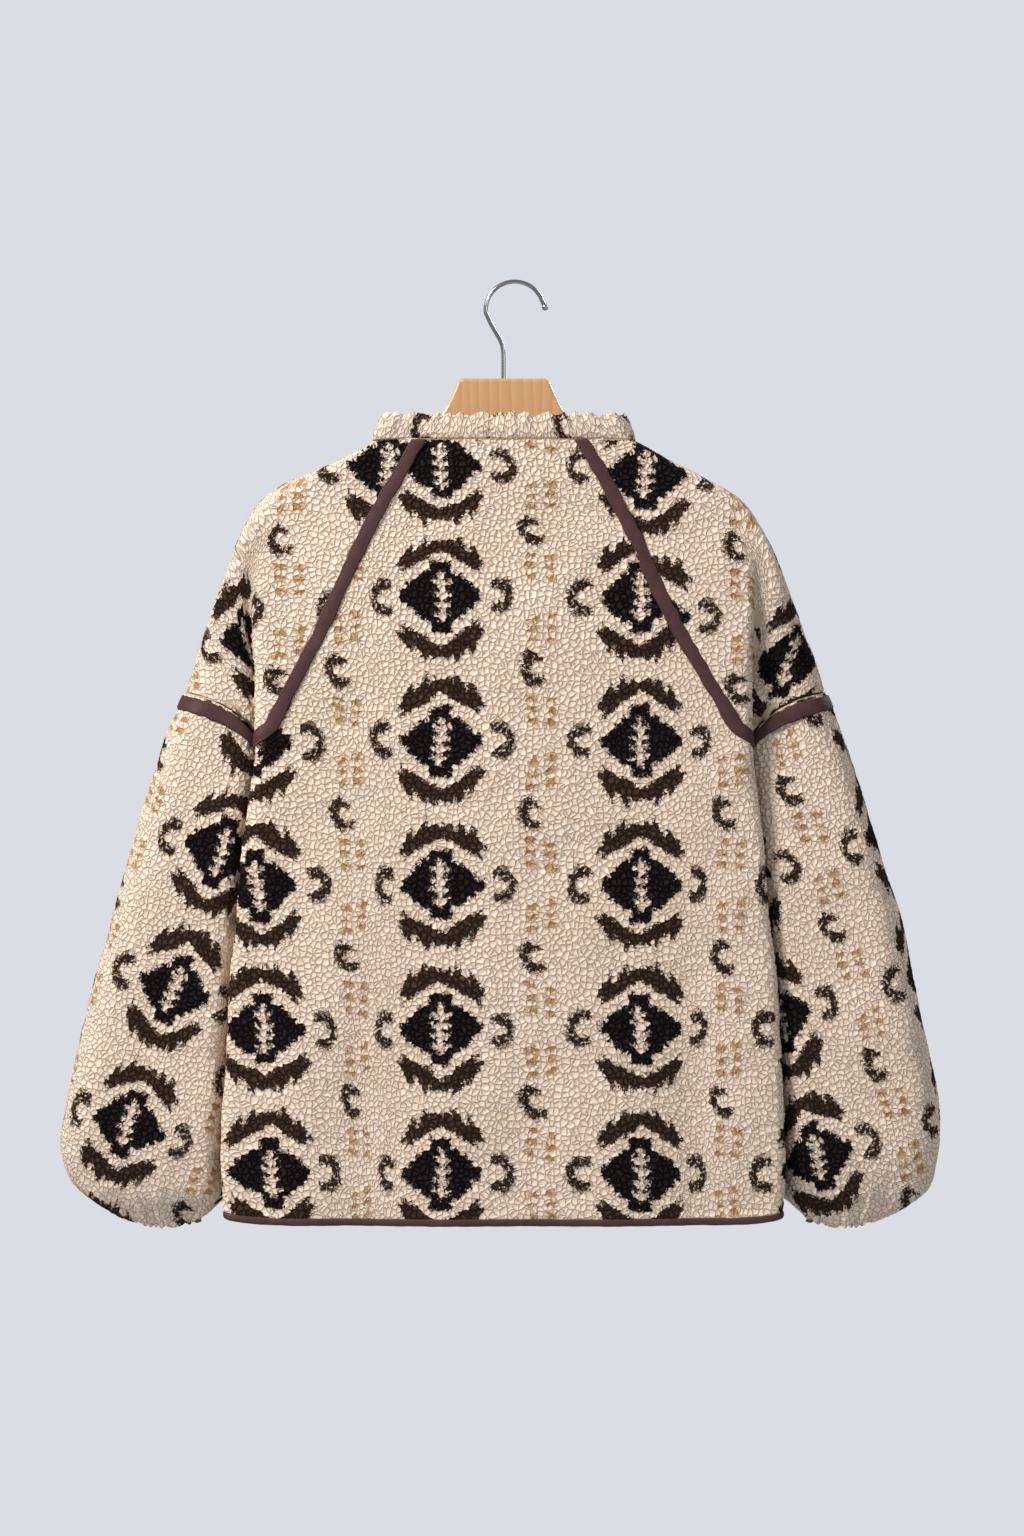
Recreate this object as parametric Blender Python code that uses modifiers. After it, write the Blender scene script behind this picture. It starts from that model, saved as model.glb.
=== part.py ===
"""A teddy-fleece half-zip sweatshirt on a wooden hanger: the construction.

Sizes are in millimetres, and MM turns them into Blender's metres. The origin is where a rail bears on the
hook. X runs to the wearer's right, Y to the garment's front, and Z up. The tables count `down` from the
origin and `out` from the garment's middle, the same on both sides: side is -1 on the wearer's left and 1 on
the right. Every sheet of cloth is a grid of rows, and each row is a soft path round the garment.
"""

import math

import bmesh
import bpy
import numpy as np

MM = 0.001
COLLECTION = "half_zip_sweatshirt"
CUTTERS = "cutters"

# The whole garment
CENTRE = -9.6  # the middle of garment and hanger, to the left of where the hook bears
WALL = 4.5  # fleece: its knit back and its pile
SEAM = 0.3
ARM_SEAM, UNDERARM_LIFT, UNDERARM_DROP, UNDERARM_REACH = 0.9, 1.5, 3.6, 60.0
UNDERARM_EASE = 1.0  # how much wider a raglan seam stands where it turns in under the arm
TURN_EASE = 2.8  # how much more it stands open halfway through that turn
EASE_ROWS = (6.2, 7.0)
TAPE = 1.0
HALF_DEPTH = 34.0  # the unit of depth in which the paths are drawn
TUCK = 30.0  # how much narrower the front is than the back, on each side
SWELL = 0.2  # how much fuller the body is at its middle than at its edges
BODY_ROUND = 20.0
LAST_FLAT_ROW, UNDERARM_ROW = 7.0, 8.0
LEAD = 40.0  # cloth of the body drawn before a raglan seam, so that both sides of it match
HEM_DOWN = 800.0
HEM_RISE, HEM_RISE_POWER, HEM_RISE_FROM = 7.0, 12, 710.0  # of the hem's corners

# Rows and columns of the sheets
RAGLAN_ROWS = (0, 0.8, 1.6, 2.4, 3.2, 4, 4.7, 5.4, 6, 6.5, 7, 7.35, 7.7, 8)
ROWS_UNDER_UNDERARM = 8
PANEL_COLUMNS = (1, 2, 5)  # from a seam to the tape's edge, on to the body's edge, and to the middle
SLEEVE_COLUMNS = (1, 2, 3, 3, 4, 4)  # from a seam to the tape, crest, valley, shoulder, arm and over it
LOWER_ROWS = (0, 0.12, 1.0, 2, 3, 4, 5, 6, 7.2, 8.4, 9.6, 10.6, 11.6, 12.4, 13)
EVEN_COLUMNS_ROW = 8.0
LEAST_GAP = 1.4  # between columns where a seam runs into a fold
SLOPE_STEP = 0.4
COLLAR_ROWS = 2
NEAREST_POINTS = 1.0  # of the neck's edge, in the collar

# Trims and tapes
TAPE_REACH, TAPE_GAP = 6.6, 0.5
RAGLAN_TAPE_ROWS = 11
ARM_BAND_ROWS, ARM_BAND_COLUMNS, ARM_BAND_GAP = slice(1, 3), slice(7, -6), 0.6
HEM_TAPE_HEIGHT, HEM_TAPE_OVER, HEM_TAPE_GAP = 9.0, 0.8, 0.6
COLLAR_HEIGHT, COLLAR_LEAN, COLLAR_GAP = 22.0, 10.0, 0.6
NECK_DIP, NECK_DIP_ROWS = 12.0, 3.0

# The zip
SLIT_HALF = 6.0
ZIP_BOTTOM_ROW = 6.5
CHAIN_HALF, CHAIN_SUNK, CHAIN_THICK = 2.6, 2.0, 3.2
ZIP_TAPE_INNER, ZIP_TAPE_OUTER = 2.9, 15.0
ZIP_ROWS = 12
SLIDER_HALF, SLIDER_LENGTH, SLIDER_PLATE = 4.0, 11.0, 1.4
POST_HALF, POST_HEIGHT = 2.2, 3.0
PIN_FORWARD, PIN_RADIUS, LUG_RADIUS = 3.4, 0.8, 1.7
LUG_INNER, LUG_THICK = 2.1, 1.1
EYE_RADIUS, EYE_HOLE, EYE_HALF = 2.3, 1.15, 1.75
TAB_HALF, TAB_LENGTH, TAB_THICK, TAB_START = 3.6, 20.0, 1.4, 4.0
STOP_HEIGHT, STOP_HALF = 5.0, 4.6
OVERLAP = 0.3  # of blocks that are joined

# The hanger
WOOD_THICK, WOOD_ROUND = 13.0, 3.0
WIRE_RADIUS = 1.8
HOOK_RADIUS = 25.0
HOOK_ARC_START, HOOK_ARC_END, HOOK_ARC_STEPS = 184.0, 24.0, 20
HOOK_TIP = 8.0
BALL_RADIUS = 2.9
STEM_DEPTH, BORE_CLEAR, BORE_OVER = 18.0, 0.12, 10.0

FLEECE_CREAM = (0.70, 0.58, 0.43)
TAPE_BROWN = (0.09, 0.032, 0.028)
WOOD_HONEY = (0.62, 0.36, 0.15)
STEEL = (0.55, 0.56, 0.58)
ZIP_TEETH = (0.30, 0.24, 0.20)


def table(names, *rows):
    """Named columns, with a row for each section of the garment."""
    return {name: np.array(values, float) for name, values in zip(names.split(), zip(*rows))}


# The body's level sections: half width at the back, and half depth at the edges
BODY = table(
    "down out depth",
    (130, 206, 29),
    (185, 209, 31),
    (225, 211, 33),
    (307, 213, 36),
    (358, 216, 37),
    (410, 218.5, 38),
    (444, 223, 38.5),
    (530, 232.5, 39.5),
    (599, 238.5, 40),
    (668, 243, 40),
    (719, 245.5, 40),
    (771, 246, 39.5),
    (812, 243, 39),
)

# The upper sleeve: a row of cloth from the back raglan seam, over the arm, to the front one
UPPER = table(
    "row back_down back_left back_right arm_down arm_left arm_right front_down front_out",
    (0, 137, 72, 66, 138, 111, 113, 164, 64),
    (1, 160, 85, 80, 153, 142, 143, 186, 80),
    (2, 188, 101, 95, 168, 179, 174, 212, 97),
    (3, 218, 117, 110, 186, 206, 203, 240, 113),
    (4, 260, 137, 129, 218, 226, 226, 276, 130),
    (5, 304, 157, 151, 255, 241, 242, 314, 147),
    (6, 347, 180, 177, 289, 254, 256, 351, 163),
    (7, 383, 198, 198, 321, 265, 268, 385, 176),
    (8, 410, 205, 205, 352, 275, 278, 410, 186),
)

# The same rows' folds: where the cloth turns in behind the body's edge, on the back and on the front
FOLDS = table(
    "row crest valley valley_y shoulder sleeve_y crest_f valley_f valley_fy shoulder_f sleeve_fy",
    (0, 92, 96, -34, 100, -34, 88, 92, 34, 96, 34),
    (1, 112, 118, -34, 124, -34, 108, 114, 34, 120, 34),
    (2, 140, 147, -34, 155, -34, 134, 142, 34, 150, 34),
    (3, 172, 180, -34, 188, -34, 158, 166, 34, 176, 34),
    (4, 203, 211, -32, 219, -31.5, 176, 184, 34.5, 194, 35.5),
    (5, 212, 217, -25, 228, -27, 184, 192, 35, 202, 38),
    (6, 215, 213, -14, 227, -21, 186.5, 194, 32, 203, 41),
    (7, 217, 207.5, -4, 221, -16, 187.5, 198, 18, 197, 44),
    (8, 218.5, 206.7, 0, 213, -14, 188.5, 206.7, 0, 186.5, 46),
)

# The lower sleeve's sections, from the arm band to the cuff: its outer side, how far down its inner side is
# and how clear of the body there, and its depth
LOWER = table(
    "row down left right under clear back front",
    (0, 352, 275, 278, 410, 3.2, -14, 46),
    (1, 366, 281, 284, 417, 3.4, -15.5, 47),
    (2, 384, 289, 291, 427, 3.4, -17, 48),
    (3, 412, 298, 300, 447, 3.4, -19, 49),
    (4, 450, 311, 313, 484, 3.5, -21, 49),
    (5, 502, 325, 329, 537, 3.6, -23, 49),
    (6, 560, 342, 345, 594, 3.8, -24, 49),
    (7, 620, 358, 358, 648, 4.0, -25, 49),
    (8, 680, 372, 370.5, 699, 4.0, -25, 48),
    (9, 722, 379, 376, 731, 4.5, -25, 47),
    (10, 752, 380, 374, 755, 6.0, -23, 46),
    (11, 776, 370, 368, 779, 11, -18, 43),
    (12, 791, 350, 350, 793, 22, -9, 37),
    (13, 802, 326, 326, 804, 34, 0, 30),
)
INNER_SLANT, INNER_TRIM, ARM_ROUND, ROUND_SHARE = 0.44, 12.0, 32.0, 0.5
FOLD_TRIMS = (20.0, 5.0, 11.0)  # how softly an upper sleeve's rows turn at crest, valley and shoulder
FALL_POWER, BENT_POWERS, BENT_SHARES = 1.25, (2, 6), (0.55, 0.45)
TUBE_ROWS, CUFF_ROWS, BENT_ROWS = (0, 4), (10, 13), (4, 8)
CUFF_PUCKERS, PUCKER_DEPTH = 11, 2.2

# Soft folds of the body: a ridge when raised is above nought, a trough when it is below
CREASES = table(
    "out top bottom width raised lean",
    (-168, 520, 830, 26, 3.0, -0.04),
    (-118, 560, 840, 24, -3.4, -0.03),
    (-52, 640, 850, 22, 2.2, 0.02),
    (22, 600, 850, 24, -2.6, 0.0),
    (88, 560, 850, 24, 2.6, 0.03),
    (150, 470, 830, 22, -3.6, 0.05),
    (196, 460, 790, 20, 2.6, 0.06),
)

# The hanger's outline, one half of it: its top edge from the middle, and back along the lower one
HANGER_TOP = table(
    "out down",
    (35.0, 82.1),
    (39.5, 84.5),
    (42.5, 92.0),
    (48.0, 104.0),
    (56.3, 117.4),
    (72, 130),
    (92, 141.5),
    (111, 150),
    (140, 163),
    (168, 177),
    (184, 190),
)
HANGER_FOOT = table(
    "out down",
    (190, 200),
    (188, 208),
    (180, 210),
    (150, 196),
    (120, 183),
    (80, 166),
    (40, 154),
)

# The hook's wire, from its stem to the start of the round part: across from the bearing point, and down
HOOK_NECK = table(
    "across down",
    (-9.6, 58.0),
    (-9.8, 53.0),
    (-12.0, 47.8),
    (-17.2, 41.0),
    (-22.0, 33.8),
)


def smooth(columns, key, name, at):
    """A column's value at a place down the table, on a smooth curve through its rows."""
    places, values = columns[key], columns[name]
    slopes = np.gradient(values, places)
    first = np.clip(np.searchsorted(places, at, side="right") - 1, 0, len(places) - 2)
    span = places[first + 1] - places[first]
    t = np.clip((at - places[first]) / span, 0, 1)
    start = (2 * t**3 - 3 * t**2 + 1) * values[first] + (t**3 - 2 * t**2 + t) * span * slopes[first]
    end = (3 * t**2 - 2 * t**3) * values[first + 1] + (t**3 - t**2) * span * slopes[first + 1]
    return start + end


def ease(value, low, high):
    """Nought below low, one above high, and a soft rise between them."""
    t = np.clip((value - low) / (high - low), 0, 1)
    return t * t * (3 - 2 * t)


# Paths in a level section: columns are across, or out, and depth


def soft_path(corners, trims, steps=8):
    """A path through the corners, each rounded over its trim, and how far along it each corner lies."""
    corners, trims = np.array(corners, float), np.array(trims, float)
    legs = np.diff(corners, axis=0)
    lengths = np.maximum(np.hypot(legs[:, 0], legs[:, 1]), 1e-9)
    for k, length in enumerate(lengths):
        used = trims[k] + trims[k + 1]
        if used > length:
            trims[k : k + 2] *= length / used
    points, middles = [corners[0]], [0]
    for k in range(1, len(corners) - 1):
        before = corners[k] - legs[k - 1] / lengths[k - 1] * trims[k]
        after = corners[k] + legs[k] / lengths[k] * trims[k]
        for t in np.linspace(0, 1, steps + 1):
            points.append((1 - t) ** 2 * before + 2 * t * (1 - t) * corners[k] + t**2 * after)
        middles.append(len(points) - 1 - steps // 2)
    points.append(corners[-1])
    points = np.array(points)
    return points, along(points)[middles + [len(points) - 1]]


def along(points):
    """The length of a path up to each of its points."""
    return np.concatenate([[0], np.cumsum(np.linalg.norm(np.diff(points, axis=0), axis=1))])


def at_lengths(points, places):
    """The points of a path at the given lengths along it."""
    lengths = along(points)
    return np.stack([np.interp(places, lengths, column) for column in points.T], axis=-1)


def spread(knots, counts, least=LEAST_GAP):
    """Places along a path with a given count of steps between its knots, never closer than the least gap."""
    places = [knots[0]]
    for count, knot in zip(counts, knots[1:]):
        reach = max(knot, places[-1] + least * count)
        places += list(np.linspace(places[-1], reach, count + 1)[1:])
    return np.array(places)


def mirror_spread(left_knots, right_knots, counts):
    """Places from a path's start to its middle and on to its end, each half counted from its own end."""
    first = spread(left_knots, counts)
    last = -spread([-knot for knot in right_knots], counts)[::-1]
    return first, last


def seam_gap(row):
    """Half of the gap that a raglan seam leaves between its pieces at a row."""
    turn = max(row - LAST_FLAT_ROW, 0)
    return SEAM / 2 + UNDERARM_EASE * float(ease(row, *EASE_ROWS)) + TURN_EASE * 4 * turn * (1 - turn)


def body_path(down, front):
    """The level path across the body from side seam to side seam, and how far along its corners lie."""
    out = float(smooth(BODY, "down", "out", down))
    edge, y = (out - TUCK, HALF_DEPTH) if front else (out, -HALF_DEPTH)
    seam = out - TUCK / 2
    corners = [(-seam, 0), (-edge, y), (edge, y), (seam, 0)]
    return soft_path(corners, [0, BODY_ROUND, BODY_ROUND, 0])


def raglan_seam(row, side, front):
    """Where a raglan seam lies at a row: its height, and how far along body_path from that side's seam."""
    hand = "left" if side < 0 else "right"
    down_name, out_name = ("front_down", "front_out") if front else ("back_down", "back_" + hand)
    down = float(smooth(UPPER, "row", down_name, row))
    flat = float(smooth(UPPER, "row", out_name, min(row, LAST_FLAT_ROW)))
    reach = body_path(down, front)[1][-1] / 2 - flat
    return down, reach * (1 - max(row - LAST_FLAT_ROW, 0))


def crease(across, down):
    """How far the body's folds raise the cloth at a place."""
    raised = np.zeros(np.broadcast(across, down).shape)
    for out, top, bottom, width, height, lean in zip(*CREASES.values()):
        middle = out + lean * (down - top)
        fade = ease(down, top, top + 0.5 * (bottom - top))
        raised += height * fade * np.exp(-(((across - middle) / width) ** 2))
    return raised


def place(across, y, down):
    """Points in space from places across the garment, depths in a path's unit, and heights."""
    share = np.clip(np.abs(across) / smooth(BODY, "down", "out", down), 0, 1)
    inside = (1 - share**2) ** 2
    depth = y / HALF_DEPTH * smooth(BODY, "down", "depth", down) * (1 + SWELL * inside)
    depth = depth + np.sign(y) * crease(across, down) * np.minimum(4 * inside, 1)
    return np.stack([CENTRE + across, depth, -down], axis=-1)


def with_slopes(row_at, lengths):
    """A row's points, and the way the row runs at each of them."""
    ahead, behind = row_at(lengths + SLOPE_STEP), row_at(lengths - SLOPE_STEP)
    return row_at(lengths), ahead - behind


# Sheets of cloth, each as a grid of outer points and the way its rows run there


def body_row(down, gaps, front, dip=0.0):
    """One row of a body panel, from `gaps` inside its left side seam to as far inside its right one."""
    points, marks = body_path(down, front)
    full = marks[-1]
    knots = [
        [gap, gap + TAPE_REACH, marks[1], full / 2 - (SLIT_HALF if front else 0)]
        for gap in gaps
    ]
    first, last = mirror_spread(knots[0], [full - knot for knot in knots[1]], PANEL_COLUMNS)
    lengths = np.concatenate([first, last if front else last[1:]])

    def row_at(lengths):
        across, y = at_lengths(points, lengths).T
        share = np.abs(across) / smooth(BODY, "down", "out", down)
        rise = HEM_RISE * share**HEM_RISE_POWER * ease(down, HEM_RISE_FROM, HEM_DOWN)
        share = (lengths - gaps[0]) / (full - gaps[1] - gaps[0])
        sag = 4 * dip * share * (1 - share)
        return place(across, y, down - rise + sag)

    return with_slopes(row_at, lengths)


def body_rows(front):
    """The rows of a body panel: how far down, how far in from each side seam, and the dip at the neck."""
    rows = []
    for row in RAGLAN_ROWS:
        down, left = raglan_seam(row, -1, front)
        right = raglan_seam(row, 1, front)[1]
        dip = NECK_DIP * float(1 - ease(row, 0, NECK_DIP_ROWS)) if front else 0
        rows.append((down, (left + seam_gap(row), right + seam_gap(row)), dip))
    for down in np.linspace(rows[-1][0], HEM_DOWN, ROWS_UNDER_UNDERARM + 1)[1:]:
        rows.append((down, (SEAM / 2, SEAM / 2), 0))
    return rows


def body_sheet(front):
    """A body panel, from the neck to the hem."""
    return stacked([body_row(down, gaps, front, dip) for down, gaps, dip in body_rows(front)])


def stacked(rows):
    """Rows of points and slopes as two grids."""
    return np.array([points for points, _ in rows]), np.array([slopes for _, slopes in rows])


def upper_sleeve_row(row, side):
    """One row of an upper sleeve, from the back seam over the arm to the front seam."""
    if row == UNDERARM_ROW:
        return lower_sleeve_row(0, side, opened=True)
    hand = "left" if side < 0 else "right"
    arm = float(smooth(UPPER, "row", "arm_" + hand, row))
    fold = {name: float(smooth(FOLDS, "row", name, row)) for name in FOLDS if name != "row"}
    flat = min(row, LAST_FLAT_ROW)
    back = float(smooth(UPPER, "row", "back_" + hand, flat)) - LEAD
    front = float(smooth(UPPER, "row", "front_out", flat)) - LEAD
    points, marks = soft_path(
        [
            (back, -HALF_DEPTH),
            (fold["crest"], -HALF_DEPTH),
            (fold["valley"], fold["valley_y"]),
            (fold["shoulder"], fold["sleeve_y"]),
            (arm, fold["sleeve_y"]),
            (arm, fold["sleeve_fy"]),
            (fold["shoulder_f"], fold["sleeve_fy"]),
            (fold["valley_f"], fold["valley_fy"]),
            (fold["crest_f"], HALF_DEPTH),
            (front, HALF_DEPTH),
        ],
        [0, *FOLD_TRIMS, ARM_ROUND, ARM_ROUND, *FOLD_TRIMS[::-1], 0],
    )
    turn = max(row - LAST_FLAT_ROW, 0)
    start = LEAD + turn * (marks[2] - LEAD) + seam_gap(row)
    end = marks[-1] - LEAD - turn * (marks[-1] - LEAD - marks[7]) - seam_gap(row)
    over = (marks[4] + marks[5]) / 2
    lengths = np.concatenate(
        [
            spread([start, start + TAPE_REACH, *marks[1:5], over], SLEEVE_COLUMNS),
            -spread([-end, -end + TAPE_REACH, *-marks[8:4:-1], -over], SLEEVE_COLUMNS)[-2::-1],
        ]
    )
    arm_down, back_down, front_down = (
        float(smooth(UPPER, "row", name, row)) for name in ("arm_down", "back_down", "front_down")
    )

    def row_at(lengths):
        out, y = at_lengths(points, lengths).T
        behind = lengths < over
        share = np.where(behind, (over - lengths) / (over - start), (lengths - over) / (end - over))
        fall = sleeve_fall(share, float(ease(row, *BENT_ROWS)))
        return place(side * out, y, arm_down + (np.where(behind, back_down, front_down) - arm_down) * fall)

    return with_slopes(row_at, lengths)


def sleeve_fall(share, bent):
    """How much of its drop to the underarm a row has made at a share of its way there from over the arm."""
    curved = sum(part * share**power for part, power in zip(BENT_SHARES, BENT_POWERS))
    return (1 - bent) * share**FALL_POWER + bent * curved


def near_underarm(ring):
    """One at both ends of a ring round the arm, which meet at its underarm point, and nought elsewhere."""
    length = along(ring)
    return 1 - ease(np.minimum(length, length[-1] - length), 0, UNDERARM_REACH)


def upper_sleeve_sheet(side):
    """An upper sleeve, from the neck to just above the arm band."""
    points, slopes = stacked([upper_sleeve_row(row, side) for row in RAGLAN_ROWS])
    points[-1, :, 2] += ARM_SEAM + UNDERARM_LIFT * near_underarm(points[-1])
    return points, slopes


def lower_sleeve_row(row, side, opened=False):
    """One ring of a lower sleeve, from its underarm line round the back, and on round the front."""
    hand = "left" if side < 0 else "right"
    value = {name: float(smooth(LOWER, "row", name, row)) for name in LOWER if name != "row"}
    outer, back, front = value[hand], value["back"], value["front"]
    inner = float(smooth(BODY, "down", "out", value["under"])) - TUCK / 2 + value["clear"]
    slant = INNER_SLANT * float(1 - ease(row, *CUFF_ROWS))
    round_over = min(ARM_ROUND, ROUND_SHARE * (front - back))
    points, marks = soft_path(
        [
            (inner, 0),
            (inner - slant * back, back),
            (outer, back),
            (outer, front),
            (inner - slant * front, front),
            (inner, 0),
        ],
        [0, INNER_TRIM, round_over, round_over, INNER_TRIM, 0],
    )
    full, over = marks[-1], (marks[2] + marks[3]) / 2
    gap = SEAM / 2 if opened else 0
    back_half = spread([gap] * 4 + [marks[1], marks[2], over], SLEEVE_COLUMNS)
    front_half = -spread([gap - full] * 4 + [-marks[4], -marks[3], -over], SLEEVE_COLUMNS)[-2::-1]
    lengths = np.concatenate([back_half, front_half])
    even = np.linspace(gap, full - gap, len(lengths))
    lengths += float(ease(row, 0, EVEN_COLUMNS_ROW)) * (even - lengths)

    def row_at(lengths):
        out, y = at_lengths(points, lengths).T
        share = np.where(lengths < over, (over - lengths) / over, (lengths - over) / (full - over))
        tube = float(1 - ease(row, *TUBE_ROWS))
        fall = tube * sleeve_fall(share, 1.0) + (1 - tube) * (outer - out) / (outer - inner)
        turns = CUFF_PUCKERS * lengths / full
        gather = PUCKER_DEPTH * float(ease(row, *CUFF_ROWS)) * np.sin(2 * math.pi * turns)
        down = value["down"] + (value["under"] - value["down"]) * fall + np.abs(gather)
        return place(side * out, y + 0.5 * gather, down)

    return with_slopes(row_at, lengths if opened else lengths[:-1])


def lower_sleeve_sheet(side):
    """A lower sleeve: closed rings from the arm band to the open cuff."""
    points, slopes = stacked([lower_sleeve_row(row, side) for row in LOWER_ROWS])
    points[:2, :, 2] -= UNDERARM_DROP * near_underarm(points[0])
    return points, slopes


def neck_line():
    """The neck's edge, from the front slit round by the wearer's left, the back and the right."""
    front = body_sheet(True)[0][0]
    half = len(front) // 2
    left, right = (upper_sleeve_row(0, side)[0] for side in (-1, 1))
    back = body_sheet(False)[0][0]
    return np.concatenate([front[:half][::-1], left[::-1], back, right, front[half:][::-1]])


def collar_sheet():
    """The collar, a low stand on the neck's edge that leans in at its ends."""
    edge = neck_line()
    apart = np.concatenate([[True], np.diff(along(edge)) > NEAREST_POINTS])
    edge = edge[apart] + (0, 0, COLLAR_GAP)
    width = np.abs(edge[:, 0] - CENTRE).max()
    grid = []
    for share in np.linspace(1, 0, COLLAR_ROWS + 1):
        row = edge.copy()
        row[:, 2] += COLLAR_HEIGHT * share
        row[:, 0] -= COLLAR_LEAN * share * (edge[:, 0] - CENTRE) / width
        grid.append(row)
    return np.array(grid), np.gradient(np.array(grid), axis=1)


# Solids


def directions(points, slopes, middle):
    """The way out of the cloth at each point of a sheet, away from a point in the middle of the form."""
    out = np.cross(slopes, np.gradient(points, axis=0))
    out /= np.maximum(np.linalg.norm(out, axis=2, keepdims=True), 1e-9)
    return out * np.sign(np.sum(out * (points - middle)))


def body_middle(points):
    """A point inside the body at the height of a sheet."""
    return np.array([CENTRE, 0, points[..., 2].mean()])


def moved(points, out, distance):
    """A sheet's points moved out by a distance."""
    return points + distance * out


def mesh_object(name, vertices, faces, colour, roughness=0.9, metallic=0.0):
    """A named object in the object's collection, with its own material."""
    mesh = bpy.data.meshes.new(name)
    mesh.from_pydata([tuple(MM * value for value in vertex) for vertex in vertices], [], faces)
    mesh.validate()
    work = bmesh.new()
    work.from_mesh(mesh)
    if work.calc_volume(signed=True) < 0:
        bmesh.ops.reverse_faces(work, faces=work.faces)
    work.to_mesh(mesh)
    work.free()
    made = bpy.data.objects.new(name, mesh)
    return finish(made, colour, roughness, metallic)


def finish(made, colour, roughness=0.9, metallic=0.0):
    """Puts an object in the collection and gives it a plain material of its own."""
    if not made.users_collection:
        bpy.data.collections[COLLECTION].objects.link(made)
    material = bpy.data.materials.new(made.name)
    material.use_nodes = True
    shader = material.node_tree.nodes["Principled BSDF"]
    shader.inputs["Base Color"].default_value = (*colour, 1)
    shader.inputs["Roughness"].default_value = roughness
    shader.inputs["Metallic"].default_value = metallic
    material.diffuse_color = (*colour, 1)
    made.data.materials.clear()
    made.data.materials.append(material)
    return made


def wall(name, outer, inner, colour, closed=False, missing=None):
    """A solid between an outer and an inner grid of points, with its edges closed."""
    rows, columns = outer.shape[:2]
    count = rows * columns
    faces, edges = [], set()
    for i in range(rows - 1):
        for j in range(columns if closed else columns - 1):
            if missing is not None and missing(i, j):
                continue
            k = (j + 1) % columns
            loop = (i * columns + j, (i + 1) * columns + j, (i + 1) * columns + k, i * columns + k)
            faces.append(loop)
            faces.append(tuple(count + v for v in reversed(loop)))
            for a, b in zip(loop, loop[1:] + loop[:1]):
                if (b, a) in edges:
                    edges.remove((b, a))
                else:
                    edges.add((a, b))
    faces += [(b, a, count + a, count + b) for a, b in sorted(edges)]
    return mesh_object(name, np.concatenate([outer.reshape(-1, 3), inner.reshape(-1, 3)]), faces, colour)


def cloth(name, points, out, closed=False, missing=None):
    """A sheet of fleece, with its thickness inward. Gives back the sheet and the way out of it."""
    wall(name, points, moved(points, out, -WALL), FLEECE_CREAM, closed, missing)
    return points, out


def level(out):
    """Ways out of the cloth, turned level."""
    flat = out * (1, 1, 0)
    return flat / np.linalg.norm(flat, axis=-1, keepdims=True)


def tape_on(name, points, out, gap):
    """A tape made from the points of the cloth under it, moved out just clear of it."""
    wall(name, moved(points, out, gap + TAPE), moved(points, out, gap), TAPE_BROWN)


def raglan_tape(name, panel, sleeve, side, front):
    """A tape over a raglan seam, from the panel's and the sleeve's first columns there."""
    on_panel = slice(0, 2) if side < 0 else slice(-1, -3, -1)
    on_sleeve = slice(0, 2) if not front else slice(-1, -3, -1)
    grids = []
    for from_panel, from_sleeve in zip(panel, sleeve):
        near = from_panel[:RAGLAN_TAPE_ROWS, on_panel]
        far = from_sleeve[:RAGLAN_TAPE_ROWS, on_sleeve]
        seam = (near[:, :1] + far[:, :1]) / 2
        grids.append(np.concatenate([far[:, 1:], seam, near[:, 1:]], axis=1))
    points, out = grids
    gap = np.array([TAPE_GAP + seam_gap(row) - seam_gap(0) for row in RAGLAN_ROWS[:RAGLAN_TAPE_ROWS]])
    tape_on(name, points, out / np.linalg.norm(out, axis=2, keepdims=True), gap[:, None, None])


def make_cloth_and_tapes():
    """The fleece pieces, and the brown tapes made from their points."""
    slit_column = sum(PANEL_COLUMNS)
    slit_rows = RAGLAN_ROWS.index(ZIP_BOTTOM_ROW)
    panels = {}
    for front, face in ((False, "back"), (True, "front")):
        points, slopes = body_sheet(front)
        out = directions(points, slopes, body_middle(points))
        missing = (lambda i, j: j == slit_column and i < slit_rows) if front else None
        panels[face] = cloth(face + "_panel", points, out, missing=missing)
    for side, hand in ((-1, "left"), (1, "right")):
        points, slopes = upper_sleeve_sheet(side)
        out = directions(points, slopes, points.mean(axis=(0, 1)))
        lower_points, lower_slopes = lower_sleeve_sheet(side)
        lower_out = directions(lower_points, lower_slopes, lower_points.mean(axis=(0, 1)))
        lower_out[:2] = level(lower_out[2])
        out[-1] = np.concatenate([lower_out[0], lower_out[0][:1]])
        sleeve = cloth("upper_sleeve_" + hand, points, out)
        points, out = cloth("lower_sleeve_" + hand, lower_points, lower_out, closed=True)
        for front, face in ((False, "back"), (True, "front")):
            raglan_tape(f"raglan_tape_{face}_{hand}", panels[face], sleeve, side, front)
        under_band = (ARM_BAND_ROWS, ARM_BAND_COLUMNS)
        tape_on("arm_band_" + hand, points[under_band], out[under_band], ARM_BAND_GAP)
    points, slopes = collar_sheet()
    cloth("collar", points, directions(points, slopes, body_middle(points)))
    make_hem_binding(panels)


def make_hem_binding(panels):
    """The binding of the lower edge, a ring just under it and a little thicker than it."""
    ring = np.concatenate([panels["back"][0][-1], panels["front"][0][-1][::-1]])
    out = np.concatenate([panels["back"][1][-1], panels["front"][1][-1][::-1]])
    rows = np.array([ring - (0, 0, HEM_TAPE_GAP), ring - (0, 0, HEM_TAPE_GAP + HEM_TAPE_HEIGHT)])
    outward = np.array([level(out), level(out)])
    outer, inner = moved(rows, outward, HEM_TAPE_OVER), moved(rows, outward, -WALL - HEM_TAPE_OVER)
    wall("hem_binding", outer, inner, TAPE_BROWN, closed=True)


# The hanger


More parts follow.
